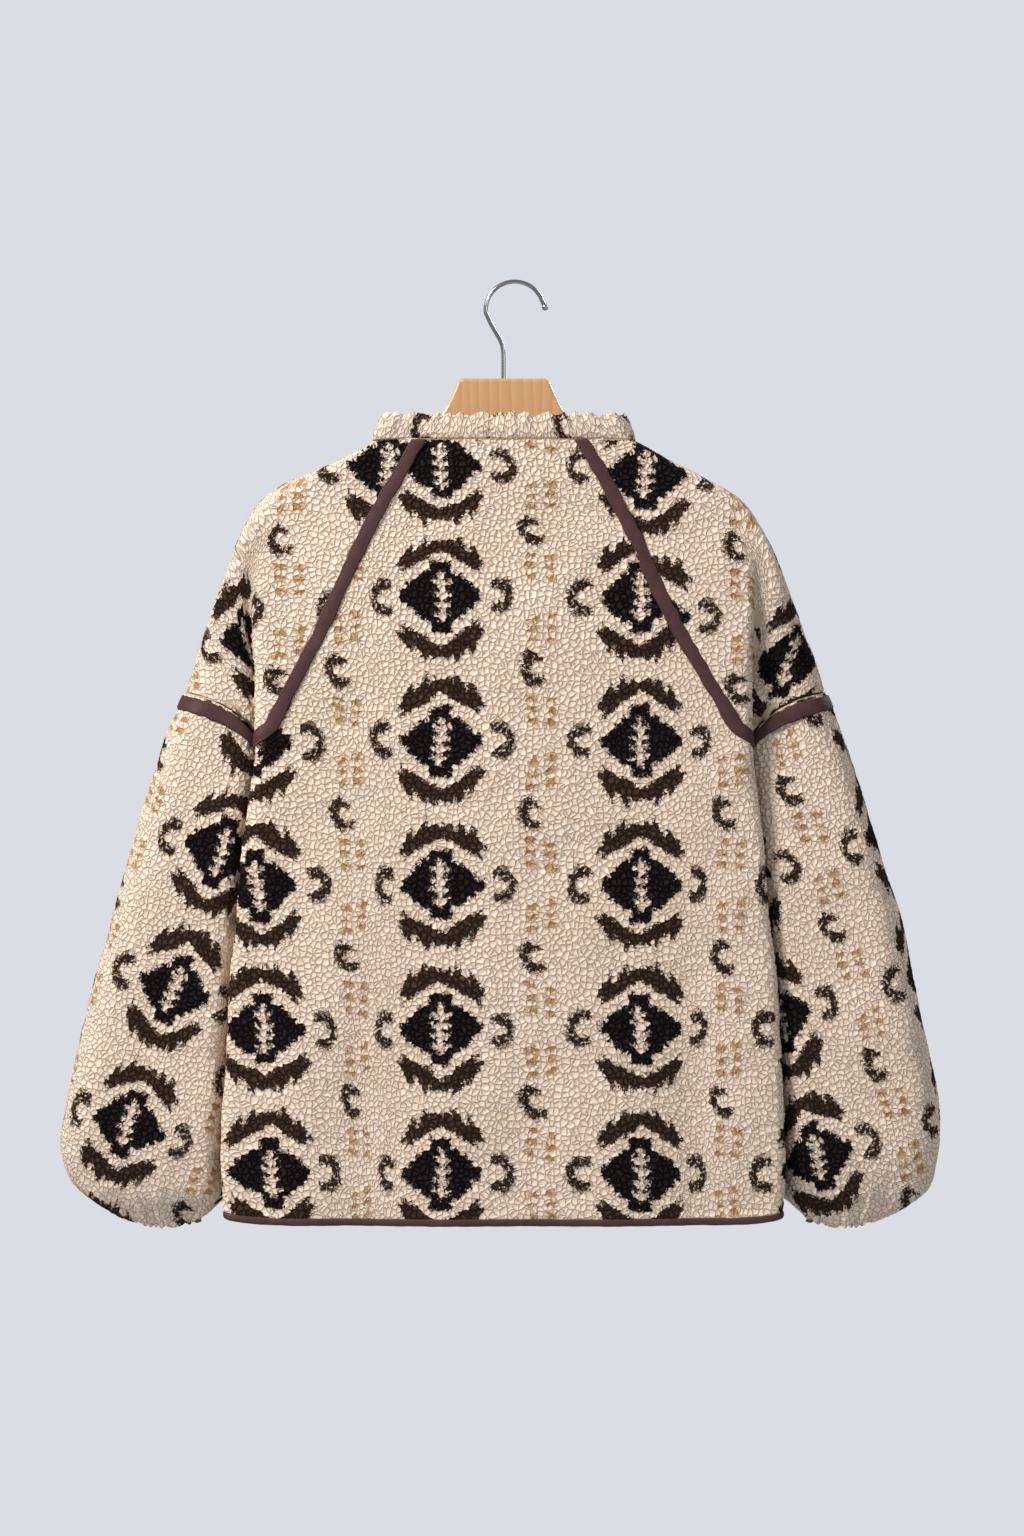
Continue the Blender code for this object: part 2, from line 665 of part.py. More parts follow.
def outline_object(name, outline, half_thick):
    """A flat outline in X and Z as a solid, `half_thick` to each side of the garment's middle plane."""
    curve = bpy.data.curves.new(name + "_outline", "CURVE")
    curve.dimensions = "2D"
    curve.fill_mode = "BOTH"
    curve.extrude = half_thick * MM
    spline = curve.splines.new("POLY")
    spline.points.add(len(outline) - 1)
    for point, (x, z) in zip(spline.points, outline):
        point.co = (x * MM, z * MM, 0, 1)
    spline.use_cyclic_u = True
    flat = bpy.data.objects.new(name + "_outline", curve)
    bpy.data.collections[COLLECTION].objects.link(flat)
    return as_mesh(name, flat, (math.pi / 2, 0, 0))


def as_mesh(name, source, rotation=(0, 0, 0)):
    """A curve object as a closed mesh object of its own, and the curve removed."""
    bpy.context.view_layer.update()
    mesh = bpy.data.meshes.new_from_object(source.evaluated_get(bpy.context.evaluated_depsgraph_get()))
    bpy.data.objects.remove(source)
    work = bmesh.new()
    work.from_mesh(mesh)
    bmesh.ops.remove_doubles(work, verts=work.verts, dist=1e-6)
    bmesh.ops.recalc_face_normals(work, faces=work.faces)
    work.to_mesh(mesh)
    work.free()
    made = bpy.data.objects.new(name, mesh)
    made.rotation_euler = rotation
    bpy.data.collections[COLLECTION].objects.link(made)
    return made


def hanger_outline():
    """The wooden body's outline, from its left tip over the top and back along its foot."""
    top = list(zip(HANGER_TOP["out"], HANGER_TOP["down"]))
    foot = list(zip(HANGER_FOOT["out"], HANGER_FOOT["down"]))
    right = [(CENTRE + out, -down) for out, down in top + foot]
    left = [(2 * CENTRE - across, height) for across, height in right[::-1]]
    return right + left


def make_hanger_body():
    """The wooden body, with soft edges and a bore for the wire."""
    body = outline_object("hanger_body", hanger_outline(), WOOD_THICK / 2)
    bevel = body.modifiers.new("soft_edges", "BEVEL")
    bevel.width = WOOD_ROUND * MM
    bevel.segments = 2
    bevel.limit_method = "ANGLE"
    bevel.angle_limit = math.radians(60)
    body.modifiers.new("triangles", "TRIANGULATE")
    bore_length = STEM_DEPTH + 2 * BORE_OVER
    middle = (CENTRE, 0, stem_foot() + BORE_OVER)
    cut(body, round_bar("stem_bore", WIRE_RADIUS + BORE_CLEAR, bore_length, middle))
    finish(body, WOOD_HONEY, 0.45)


def stem_foot():
    """How high the wire's lower end is, in its bore."""
    return -HANGER_TOP["down"][0] - STEM_DEPTH + STEM_DEPTH / 2


def round_bar(name, radius, length, middle, across=False, sides=20):
    """A round bar, upright or across the garment, as a cutter or a part to join."""
    bpy.ops.mesh.primitive_cylinder_add(
        vertices=sides,
        radius=radius * MM,
        depth=length * MM,
        location=[MM * value for value in middle],
        rotation=(0, math.pi / 2 if across else 0, 0),
    )
    return as_tool(name)


def block(name, low, high):
    """A block between two corners, as a cutter or a part to join."""
    low, high = np.array(low, float), np.array(high, float)
    bpy.ops.mesh.primitive_cube_add(size=1, location=tuple(MM * (low + high) / 2))
    bpy.context.object.scale = tuple(MM * (high - low))
    return as_tool(name)


def as_tool(name):
    """Moves the object just made to the cutters, shown as wire only."""
    tool = bpy.context.object
    tool.name = name
    for collection in list(tool.users_collection):
        collection.objects.unlink(tool)
    bpy.data.collections[CUTTERS].objects.link(tool)
    tool.hide_render = True
    tool.display_type = "WIRE"
    return tool


def as_part(name, tool, colour, roughness, metallic):
    """Makes a tool a part of the object."""
    bpy.data.collections[CUTTERS].objects.unlink(tool)
    bpy.data.collections[COLLECTION].objects.link(tool)
    tool.name = name
    tool.hide_render = False
    tool.display_type = "TEXTURED"
    return finish(tool, colour, roughness, metallic)


def combine(body, tool, operation):
    """Joins a tool to a body, or cuts it out."""
    modifier = body.modifiers.new(tool.name, "BOOLEAN")
    modifier.operation = operation
    modifier.object = tool


def cut(body, tool):
    combine(body, tool, "DIFFERENCE")


def join(body, tool):
    combine(body, tool, "UNION")


def make_hook():
    """The wire hook: a straight stem, a bend to the side, the round part and a ball at its end."""
    middle_down = HOOK_RADIUS - WIRE_RADIUS
    points = [(CENTRE, stem_foot())]
    points += [(across, -down) for across, down in zip(HOOK_NECK["across"], HOOK_NECK["down"])]
    for angle in np.radians(np.linspace(HOOK_ARC_START, HOOK_ARC_END, HOOK_ARC_STEPS)):
        points.append((HOOK_RADIUS * math.cos(angle), HOOK_RADIUS * math.sin(angle) - middle_down))
    last = math.radians(HOOK_ARC_END)
    tip = (points[-1][0] + HOOK_TIP * math.sin(last), points[-1][1] - HOOK_TIP * math.cos(last))
    points.append(tip)
    curve = bpy.data.curves.new("hook_wire", "CURVE")
    curve.dimensions = "3D"
    curve.bevel_depth = WIRE_RADIUS * MM
    curve.bevel_resolution = 2
    curve.use_fill_caps = True
    spline = curve.splines.new("POLY")
    spline.points.add(len(points) - 1)
    for point, (x, z) in zip(spline.points, points):
        point.co = (x * MM, 0, z * MM, 1)
    wire = bpy.data.objects.new("hook_wire", curve)
    bpy.data.collections[COLLECTION].objects.link(wire)
    hook = as_mesh("hanger_hook", wire)
    bpy.ops.mesh.primitive_uv_sphere_add(
        segments=16, ring_count=10, radius=BALL_RADIUS * MM, location=(tip[0] * MM, 0, tip[1] * MM)
    )
    join(hook, as_tool("hook_ball"))
    finish(hook, STEEL, 0.3, 1.0)


# The zip


def zip_bottom():
    """How far down the front's slit ends."""
    return raglan_seam(ZIP_BOTTOM_ROW, 1, True)[0]


def front_middle(down):
    """How far forward the cloth's face is at the middle of the front."""
    return float(place(0.0, HALF_DEPTH, np.array(down))[..., 1])


def zip_lines(neck_down):
    """How far down and how far forward the cloth's face is along the zip, from the collar's top."""
    top = neck_down - COLLAR_HEIGHT - COLLAR_GAP
    downs = [top, neck_down] + list(np.linspace(neck_down, zip_bottom(), ZIP_ROWS)[1:])
    return [(down, front_middle(max(down, neck_down))) for down in downs]


def zip_strip(name, lines, low, high, face, back, colour, roughness=0.8, metallic=0.0):
    """A strip along the zip, from `low` to `high` across it and `face` to `back` behind the cloth's face."""
    grids = []
    for sunk in (face, back):
        rows = [[(CENTRE + across, y - sunk, -down) for across in (low, high)] for down, y in lines]
        grids.append(np.array(rows))
    made = wall(name, *grids, colour)
    made.data.materials[0].node_tree.nodes["Principled BSDF"].inputs["Roughness"].default_value = roughness
    made.data.materials[0].node_tree.nodes["Principled BSDF"].inputs["Metallic"].default_value = metallic


def make_zip(neck_down):
    """The zip, closed, with its slider at the top of the collar and the pull tab hanging."""
    lines = zip_lines(neck_down)
    behind = WALL + SEAM
    for side, hand in ((-1, "left"), (1, "right")):
        low, high = sorted((side * ZIP_TAPE_INNER, side * ZIP_TAPE_OUTER))
        zip_strip("zip_tape_" + hand, lines, low, high, behind, behind + TAPE, TAPE_BROWN)
    top, face = lines[0]
    chain_top = top + POST_HEIGHT + SEAM
    chain = [(chain_top, face)] + lines[1:-1] + [(zip_bottom() - STOP_HEIGHT - SEAM, lines[-1][1])]
    zip_strip(
        "zip_chain", chain, -CHAIN_HALF, CHAIN_HALF, CHAIN_SUNK, CHAIN_SUNK + CHAIN_THICK, ZIP_TEETH, 0.4, 0.6
    )
    foot = lines[-1][1]
    stop = block(
        "zip_stop",
        (CENTRE - STOP_HALF, foot - behind + SEAM, -zip_bottom() + SEAM),
        (CENTRE + STOP_HALF, foot - SEAM, -zip_bottom() + STOP_HEIGHT),
    )
    as_part("zip_stop", stop, ZIP_TEETH, 0.4, 0.6)
    make_slider(top, face)


def make_slider(top, face):
    """The slider round the chain's top end, with a lug and pin, and the pull tab on the pin."""
    low = -top - SLIDER_LENGTH
    front = face - CHAIN_SUNK + SEAM
    back = face - WALL - SEAM - TAPE - SEAM
    slider = block(
        "zip_slider", (CENTRE - SLIDER_HALF, front, low), (CENTRE + SLIDER_HALF, front + SLIDER_PLATE, -top)
    )
    join(
        slider,
        block(
            "slider_back",
            (CENTRE - SLIDER_HALF, back - SLIDER_PLATE, low),
            (CENTRE + SLIDER_HALF, back, -top),
        ),
    )
    post_foot = -top - POST_HEIGHT
    join(
        slider,
        block(
            "slider_post",
            (CENTRE - POST_HALF, back - SLIDER_PLATE / 2, post_foot),
            (CENTRE + POST_HALF, front + SLIDER_PLATE / 2, -top - OVERLAP),
        ),
    )
    pin_y = front + SLIDER_PLATE + PIN_FORWARD
    pin_z = -top - SLIDER_LENGTH / 2
    for side in (-1, 1):
        near, far = sorted((side * LUG_INNER, side * (LUG_INNER + LUG_THICK)))
        join(
            slider,
            block(
                f"slider_lug_{side}",
                (CENTRE + near, front + SLIDER_PLATE / 2, pin_z - LUG_RADIUS),
                (CENTRE + far, pin_y + LUG_RADIUS, pin_z + LUG_RADIUS),
            ),
        )
    pin_length = 2 * (LUG_INNER + LUG_THICK / 2)
    pin = round_bar("slider_pin", PIN_RADIUS, pin_length, (CENTRE, pin_y, pin_z), across=True, sides=16)
    join(slider, pin)
    as_part("zip_slider", slider, STEEL, 0.35, 1.0)
    make_pull(pin_y, pin_z)


def make_pull(pin_y, pin_z):
    """The pull tab: an eye round the pin and a flat tab that hangs from it, with its origin on the pin."""
    tab = block(
        "zip_pull",
        (CENTRE - TAB_HALF, pin_y - TAB_THICK / 2, pin_z - TAB_LENGTH),
        (CENTRE + TAB_HALF, pin_y + TAB_THICK / 2, pin_z - TAB_START),
    )
    join(
        tab,
        block(
            "pull_neck",
            (CENTRE - EYE_HALF, pin_y - TAB_THICK / 2, pin_z - TAB_START - OVERLAP),
            (CENTRE + EYE_HALF, pin_y + TAB_THICK / 2, pin_z - EYE_HOLE - OVERLAP),
        ),
    )
    join(tab, round_bar("pull_eye", EYE_RADIUS, 2 * EYE_HALF, (CENTRE, pin_y, pin_z), across=True, sides=24))
    cut(tab, round_bar("pull_hole", EYE_HOLE, 4 * EYE_HALF, (CENTRE, pin_y, pin_z), across=True, sides=24))
    settle(tab)
    pin = MM * np.array([CENTRE, pin_y, pin_z])
    for vertex in tab.data.vertices:
        vertex.co = [value - offset for value, offset in zip(vertex.co, pin)]
    tab.location = pin
    as_part("zip_pull", tab, STEEL, 0.35, 1.0)


def settle(made):
    """Turns an object's modifiers and placing into its own mesh."""
    bpy.context.view_layer.update()
    mesh = bpy.data.meshes.new_from_object(made.evaluated_get(bpy.context.evaluated_depsgraph_get()))
    mesh.transform(made.matrix_world)
    made.modifiers.clear()
    made.data = mesh
    made.location, made.scale, made.rotation_euler = (0, 0, 0), (1, 1, 1), (0, 0, 0)


def clear_scene():
    """An empty scene with a collection for the parts and one for the cutters."""
    for old in list(bpy.data.objects):
        bpy.data.objects.remove(old)
    for name in (COLLECTION, CUTTERS):
        bpy.context.scene.collection.children.link(bpy.data.collections.new(name))


def main():
    clear_scene()
    make_cloth_and_tapes()
    make_zip(body_rows(True)[0][0] + NECK_DIP)
    make_hanger_body()
    make_hook()


main()
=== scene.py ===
"""A teddy-fleece half-zip sweatshirt on a wooden hanger, seen from behind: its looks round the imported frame.

Lengths are in millimetres until a mesh is made. X runs to the wearer's right, Y to the garment's front, and
Z up from where a rail bears on the hook. The tables count down from there, and out from the garment's middle.
"""

import math

import bpy
import numpy as np
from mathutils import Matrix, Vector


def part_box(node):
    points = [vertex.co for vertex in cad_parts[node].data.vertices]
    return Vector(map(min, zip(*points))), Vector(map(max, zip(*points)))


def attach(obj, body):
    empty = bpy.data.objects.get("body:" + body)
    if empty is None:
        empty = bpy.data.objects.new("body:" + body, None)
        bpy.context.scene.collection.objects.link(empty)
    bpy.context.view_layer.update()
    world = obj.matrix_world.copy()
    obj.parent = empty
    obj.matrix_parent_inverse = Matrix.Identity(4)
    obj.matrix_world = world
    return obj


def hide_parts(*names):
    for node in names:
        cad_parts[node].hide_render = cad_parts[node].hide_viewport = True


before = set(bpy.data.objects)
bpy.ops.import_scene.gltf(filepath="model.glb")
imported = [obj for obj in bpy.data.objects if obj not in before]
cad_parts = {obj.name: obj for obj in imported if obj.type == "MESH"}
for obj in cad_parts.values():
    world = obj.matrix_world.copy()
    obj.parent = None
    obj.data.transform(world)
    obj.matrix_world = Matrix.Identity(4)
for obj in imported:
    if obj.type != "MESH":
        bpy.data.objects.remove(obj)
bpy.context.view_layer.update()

MM = 0.001
CENTRE = -9.6
WALL = 4.5
SEAM, ARM_SEAM, UNDERARM_LIFT, UNDERARM_DROP, UNDERARM_REACH = 0.3, 0.9, 1.5, 3.6, 60.0
UNDERARM_EASE, TURN_EASE, EASE_ROWS = 1.0, 2.8, (6.2, 7.0)
HALF_DEPTH, TUCK, SWELL, BODY_ROUND = 34.0, 30.0, 0.2, 20.0
LAST_FLAT_ROW, UNDERARM_ROW, LEAD = 7.0, 8.0, 40.0
HEM_DOWN, HEM_RISE, HEM_RISE_POWER, HEM_RISE_FROM = 800.0, 7.0, 12, 710.0
NECK_DIP, NECK_DIP_ROWS, COLLAR_HEIGHT, COLLAR_LEAN, COLLAR_GAP = 12.0, 3.0, 22.0, 10.0, 0.6
SLIT_HALF, ZIP_BOTTOM_ROW = 6.0, 6.5
INNER_SLANT, INNER_TRIM, ARM_ROUND, ROUND_SHARE = 0.44, 12.0, 32.0, 0.5
FOLD_TRIMS = (20.0, 5.0, 11.0)
FALL_POWER, BENT_POWERS, BENT_SHARES = 1.25, (2, 6), (0.55, 0.45)
TUBE_ROWS, CUFF_ROWS, BENT_ROWS = (0, 4), (10, 13), (4, 8)
CUFF_PUCKERS, PUCKER_DEPTH, CUFF_SAG = 11, 2.8, 7.0
ARM_LENGTH, DROP_ENDS = 450.0, (1.7, 14.0)
COLLAR_ROLL, GATHER_DEPTH, GATHER_RISE = 2.2, 1.1, 1.5
TAPE_HALF, TAPE_LAST, TAPE_STEPS, TAPE_WAVE, BAND_FALLS = 6.3, 0.997, 130, 0.5, (0.6, 7.4, 14.2)
STITCH_STEP, STITCH_GAP, STITCH_RADIUS = 3.1, 0.8, 0.28
BALL_RADIUS = 2.9
HOOK_RADIUS, WIRE_RADIUS = 25.0, 1.8

# The mesh of the fleece: fine steps outside, and one coarse step inside for each FINE of them
FINE = 6
BACK_CELLS, FRONT_CELLS = 40, 19
PANEL_ROW_CELLS, SKIRT_ROW_CELLS = 23, 33
UPPER_CELLS, UPPER_ROW_CELLS = 21, 24
LOWER_CELLS, LOWER_ROW_CELLS = 32, 38
COLLAR_CELLS = 50

# The pile: its nubs, and how the figures repeat on the cloth
NUB_SIZE, NUB_HEIGHT, NUB_SUNK = 5.1, 1.2, 0.5
SWELL_HEIGHT, SWELL_SCALE = 5.0, 0.016
FIGURE_ACROSS, FIGURE_DOWN = 169.6, 122.3


def table(names, *rows):
    """Named columns, with a row for each section of the garment."""
    return {name: np.array(values, float) for name, values in zip(names.split(), zip(*rows))}


BODY = table(
    "down out depth",
    (130, 206, 29),
    (185, 209, 31),
    (225, 211, 33),
    (307, 213, 36),
    (358, 216, 37),
    (410, 218.5, 38),
    (444, 223, 38.5),
    (530, 232.5, 39.5),
    (599, 238.5, 40),
    (668, 243, 40),
    (719, 245.5, 40),
    (771, 246, 39.5),
    (812, 243, 39),
)
UPPER = table(
    "row back_down back_left back_right arm_down arm_left arm_right front_down front_out",
    (0, 137, 72, 66, 138, 111, 113, 164, 64),
    (1, 160, 85, 80, 153, 142, 143, 186, 80),
    (2, 188, 101, 95, 168, 179, 174, 212, 97),
    (3, 218, 117, 110, 186, 206, 203, 240, 113),
    (4, 260, 137, 129, 218, 226, 226, 276, 130),
    (5, 304, 157, 151, 255, 241, 242, 314, 147),
    (6, 347, 180, 177, 289, 254, 256, 351, 163),
    (7, 383, 198, 198, 321, 265, 268, 385, 176),
    (8, 410, 205, 205, 352, 275, 278, 410, 186),
)
FOLDS = table(
    "row crest valley valley_y shoulder sleeve_y crest_f valley_f valley_fy shoulder_f sleeve_fy",
    (0, 92, 96, -34, 100, -34, 88, 92, 34, 96, 34),
    (1, 112, 118, -34, 124, -34, 108, 114, 34, 120, 34),
    (2, 140, 147, -34, 155, -34, 134, 142, 34, 150, 34),
    (3, 172, 180, -34, 188, -34, 158, 166, 34, 176, 34),
    (4, 203, 211, -32, 219, -31.5, 176, 184, 34.5, 194, 35.5),
    (5, 212, 217, -25, 228, -27, 184, 192, 35, 202, 38),
    (6, 215, 213, -14, 227, -21, 186.5, 194, 32, 203, 41),
    (7, 217, 207.5, -4, 221, -16, 187.5, 198, 18, 197, 44),
    (8, 218.5, 206.7, 0, 213, -14, 188.5, 206.7, 0, 186.5, 46),
)
LOWER = table(
    "row down left right under clear back front",
    (0, 352, 275, 278, 410, 3.2, -14, 46),
    (1, 366, 281, 284, 417, 3.4, -15.5, 47),
    (2, 384, 289, 291, 427, 3.4, -17, 48),
    (3, 412, 298, 300, 447, 3.4, -19, 49),
    (4, 450, 311, 313, 484, 3.5, -21, 49),
    (5, 502, 325, 329, 537, 3.6, -23, 49),
    (6, 560, 342, 345, 594, 3.8, -24, 49),
    (7, 620, 358, 358, 648, 4.0, -25, 49),
    (8, 680, 372, 370.5, 699, 4.0, -25, 48),
    (9, 722, 379, 376, 731, 4.5, -25, 47),
    (10, 752, 380, 374, 755, 6.0, -23, 46),
    (11, 776, 370, 368, 779, 11, -18, 43),
    (12, 791, 350, 350, 793, 22, -9, 37),
    (13, 802, 326, 326, 804, 34, 0, 30),
)
CREASES = table(
    "out top bottom width raised lean",
    (-168, 520, 830, 26, 3.0, -0.04),
    (-118, 560, 840, 24, -3.4, -0.03),
    (-52, 640, 850, 22, 2.2, 0.02),
    (22, 600, 850, 24, -2.6, 0.0),
    (88, 560, 850, 24, 2.6, 0.03),
    (150, 470, 830, 22, -3.6, 0.05),
    (196, 460, 790, 20, 2.6, 0.06),
)


# Paths in a level section


def smooth(columns, key, name, at):
    """A column's value at a place down the table, on a smooth curve through its rows."""
    places, values = columns[key], columns[name]
    slopes = np.gradient(values, places)
    first = np.clip(np.searchsorted(places, at, side="right") - 1, 0, len(places) - 2)
    span = places[first + 1] - places[first]
    t = np.clip((at - places[first]) / span, 0, 1)
    start = (2 * t**3 - 3 * t**2 + 1) * values[first] + (t**3 - 2 * t**2 + t) * span * slopes[first]
    end = (3 * t**2 - 2 * t**3) * values[first + 1] + (t**3 - t**2) * span * slopes[first + 1]
    return start + end


def ease(value, low, high):
    """Nought below low, one above high, and a soft rise between them."""
    t = np.clip((value - low) / (high - low), 0, 1)
    return t * t * (3 - 2 * t)


def soft_path(corners, trims, steps=10):
    """A path through the corners, each rounded over its trim, and how far along it each corner lies."""
    corners, trims = np.array(corners, float), np.array(trims, float)
    legs = np.diff(corners, axis=0)
    lengths = np.maximum(np.hypot(legs[:, 0], legs[:, 1]), 1e-9)
    for k, length in enumerate(lengths):
        used = trims[k] + trims[k + 1]
        if used > length:
            trims[k : k + 2] *= length / used
    points, middles = [corners[0]], [0]
    for k in range(1, len(corners) - 1):
        before = corners[k] - legs[k - 1] / lengths[k - 1] * trims[k]
        after = corners[k] + legs[k] / lengths[k] * trims[k]
        for t in np.linspace(0, 1, steps + 1):
            points.append((1 - t) ** 2 * before + 2 * t * (1 - t) * corners[k] + t**2 * after)
        middles.append(len(points) - 1 - steps // 2)
    points.append(corners[-1])
    points = np.array(points)
    return points, along(points)[middles + [len(points) - 1]]


def along(points):
    """The length of a path up to each of its points."""
    return np.concatenate([[0], np.cumsum(np.linalg.norm(np.diff(points, axis=0), axis=1))])


def read_off(places, keys, rows):
    """Rows at the given places, between rows that stand at their keys."""
    return np.stack([np.interp(places, keys, column) for column in rows.T], axis=-1)


def at_lengths(points, places):
    """The points of a path at the given lengths along it."""
    return read_off(places, along(points), points)


def seam_gap(row):
    """Half of the gap that a raglan seam leaves between its pieces at a row."""
    turn = max(row - LAST_FLAT_ROW, 0)
    return SEAM / 2 + UNDERARM_EASE * float(ease(row, *EASE_ROWS)) + TURN_EASE * 4 * turn * (1 - turn)


def body_path(down, front):
    """The level path across the body from side seam to side seam, and how far along its corners lie."""
    out = float(smooth(BODY, "down", "out", down))
    edge, y = (out - TUCK, HALF_DEPTH) if front else (out, -HALF_DEPTH)
    seam = out - TUCK / 2
    corners = [(-seam, 0), (-edge, y), (edge, y), (seam, 0)]
    return soft_path(corners, [0, BODY_ROUND, BODY_ROUND, 0])


def raglan_seam(row, side, front):
    """Where a raglan seam lies at a row: its height, and how far along body_path from that side's seam."""
    hand = "left" if side < 0 else "right"
    down_name, out_name = ("front_down", "front_out") if front else ("back_down", "back_" + hand)
    down = float(smooth(UPPER, "row", down_name, row))
    flat = float(smooth(UPPER, "row", out_name, min(row, LAST_FLAT_ROW)))
    reach = body_path(down, front)[1][-1] / 2 - flat
    return down, reach * (1 - max(row - LAST_FLAT_ROW, 0))


def crease(across, down):
    """How far the body's folds raise the cloth at a place."""
    raised = np.zeros(np.broadcast(across, down).shape)
    for out, top, bottom, width, height, lean in zip(*CREASES.values()):
        middle = out + lean * (down - top)
        fade = ease(down, top, top + 0.5 * (bottom - top))
        raised += height * fade * np.exp(-(((across - middle) / width) ** 2))
    return raised


def place(across, y, down):
    """Points in space from places across the garment, depths in a path's unit, and heights."""
    share = np.clip(np.abs(across) / smooth(BODY, "down", "out", down), 0, 1)
    inside = (1 - share**2) ** 2
    depth = y / HALF_DEPTH * smooth(BODY, "down", "depth", down) * (1 + SWELL * inside)
    depth = depth + np.sign(y) * crease(across, down) * np.minimum(4 * inside, 1)
    return np.stack([CENTRE + across, depth, -down], axis=-1)


# Sheets of cloth: grids of outer points, the way their rows run, and where the figures fall on them


class Sheet:
    """A sheet of cloth as grids, built up row by row."""

    def __init__(self):
        self.points, self.slopes, self.figures = [], [], []

    def add(self, row_at, lengths, figure_at):
        """Adds a row: its points, its slopes, and its places among the figures."""
        step = 0.4
        self.points.append(row_at(lengths))
        self.slopes.append(row_at(lengths + step) - row_at(lengths - step))
        self.figures.append(figure_at(lengths, self.points[-1]))

    def close(self, middle=None):
        """Turns the rows into grids and works out the way out of the cloth."""
        self.points, self.slopes, self.figures = map(np.array, (self.points, self.slopes, self.figures))
        out = np.cross(self.slopes, np.gradient(self.points, axis=0))
        out /= np.maximum(np.linalg.norm(out, axis=2, keepdims=True), 1e-9)
        middle = self.points.mean(axis=(0, 1)) if middle is None else middle
        self.out = out * np.sign(np.sum(out * (self.points - middle)))
        return self


def body_figures(across, down, front):
    """Where the figures fall on the body: drawn in towards the middle at its sides and lower down."""
    if front:
        return across + 84.8, down - 377.0
    lower = np.maximum(down - 350, 0)
    left = ease(-across, 78, 150) * (6 + 0.045 * lower)
    right = ease(across, 140, 215) * (7 + 0.02 * lower)
    top = 10.5 * (1 - ease(down, 160, 260))
    return across + 52.9 - left + right, down - 393.8 - top


def body_sheet(front):
    """A body panel, from the neck to the hem."""
    sheet = Sheet()
    rows = [(row, raglan_seam(row, -1, front)) for row in raglan_rows(PANEL_ROW_CELLS)]
    places = [(down, left, raglan_seam(row, 1, front)[1], row) for row, (down, left) in rows]
    skirt = np.linspace(places[-1][0], HEM_DOWN, SKIRT_ROW_CELLS * FINE + 1)[1:]
    places += [(down, 0, 0, None) for down in skirt]
    for down, left, right, row in places:
        gap = SEAM / 2 if row is None else seam_gap(row)
        dip = NECK_DIP * float(1 - ease(row, 0, NECK_DIP_ROWS)) if front and row is not None else 0
        points, marks = body_path(down, front)
        full, low, high = marks[-1], left + gap, marks[-1] - right - gap
        if front:
            half = FRONT_CELLS * FINE + 1
            lengths = np.linspace(low, full / 2 - SLIT_HALF, half)
            slit = np.linspace(full / 2 - SLIT_HALF, full / 2 + SLIT_HALF, FINE + 1)[1:-1]
            lengths = np.concatenate([lengths, slit, np.linspace(full / 2 + SLIT_HALF, high, half)])
        else:
            lengths = np.linspace(low, high, BACK_CELLS * FINE + 1)

        def row_at(lengths):
            across, y = at_lengths(points, lengths).T
            share = np.abs(across) / smooth(BODY, "down", "out", down)
            rise = HEM_RISE * share**HEM_RISE_POWER * ease(down, HEM_RISE_FROM, HEM_DOWN)
            share = (lengths - low) / (high - low)
            return place(across, y, down - rise + 4 * dip * share * (1 - share))

        def figure_at(lengths, placed):
            return np.stack(body_figures(lengths - full / 2, -placed[:, 2], front), axis=-1)

        sheet.add(row_at, lengths, figure_at)
    return sheet.close(np.array([CENTRE, 0, -500]))


def raglan_rows(cells):
    """The rows down a raglan seam, at even steps of its height."""
    rows = np.linspace(0, UNDERARM_ROW, 400)
    downs = smooth(UPPER, "row", "back_down", rows)
    return np.interp(np.linspace(downs[0], downs[-1], cells * FINE + 1), downs, rows)


def sleeve_fall(share, bent):
    """How much of its drop to the underarm a row has made at a share of its way there from over the arm."""
    curved = sum(part * share**power for part, power in zip(BENT_SHARES, BENT_POWERS))
    return (1 - bent) * share**FALL_POWER + bent * curved


def near_underarm(ring):
    """One at both ends of a ring round the arm, which meet at its underarm point, and nought elsewhere."""
    length = along(ring)
    return 1 - ease(np.minimum(length, length[-1] - length), 0, UNDERARM_REACH)


# Where a lozenge stands on each sleeve, and how the cloth shifts past the fold or leans on the arm
UPPER_FIGURES = {-1: (-97.5, 160.0, (40.0, -30.0)), 1: (121.5, 166.0, (19.0, -36.0))}
LOWER_FIGURES = {-1: (-289.0, 605.0, 18.6), 1: (257.0, 748.0, 16.5)}
SLEEVE_DRAWN_IN = 0.88


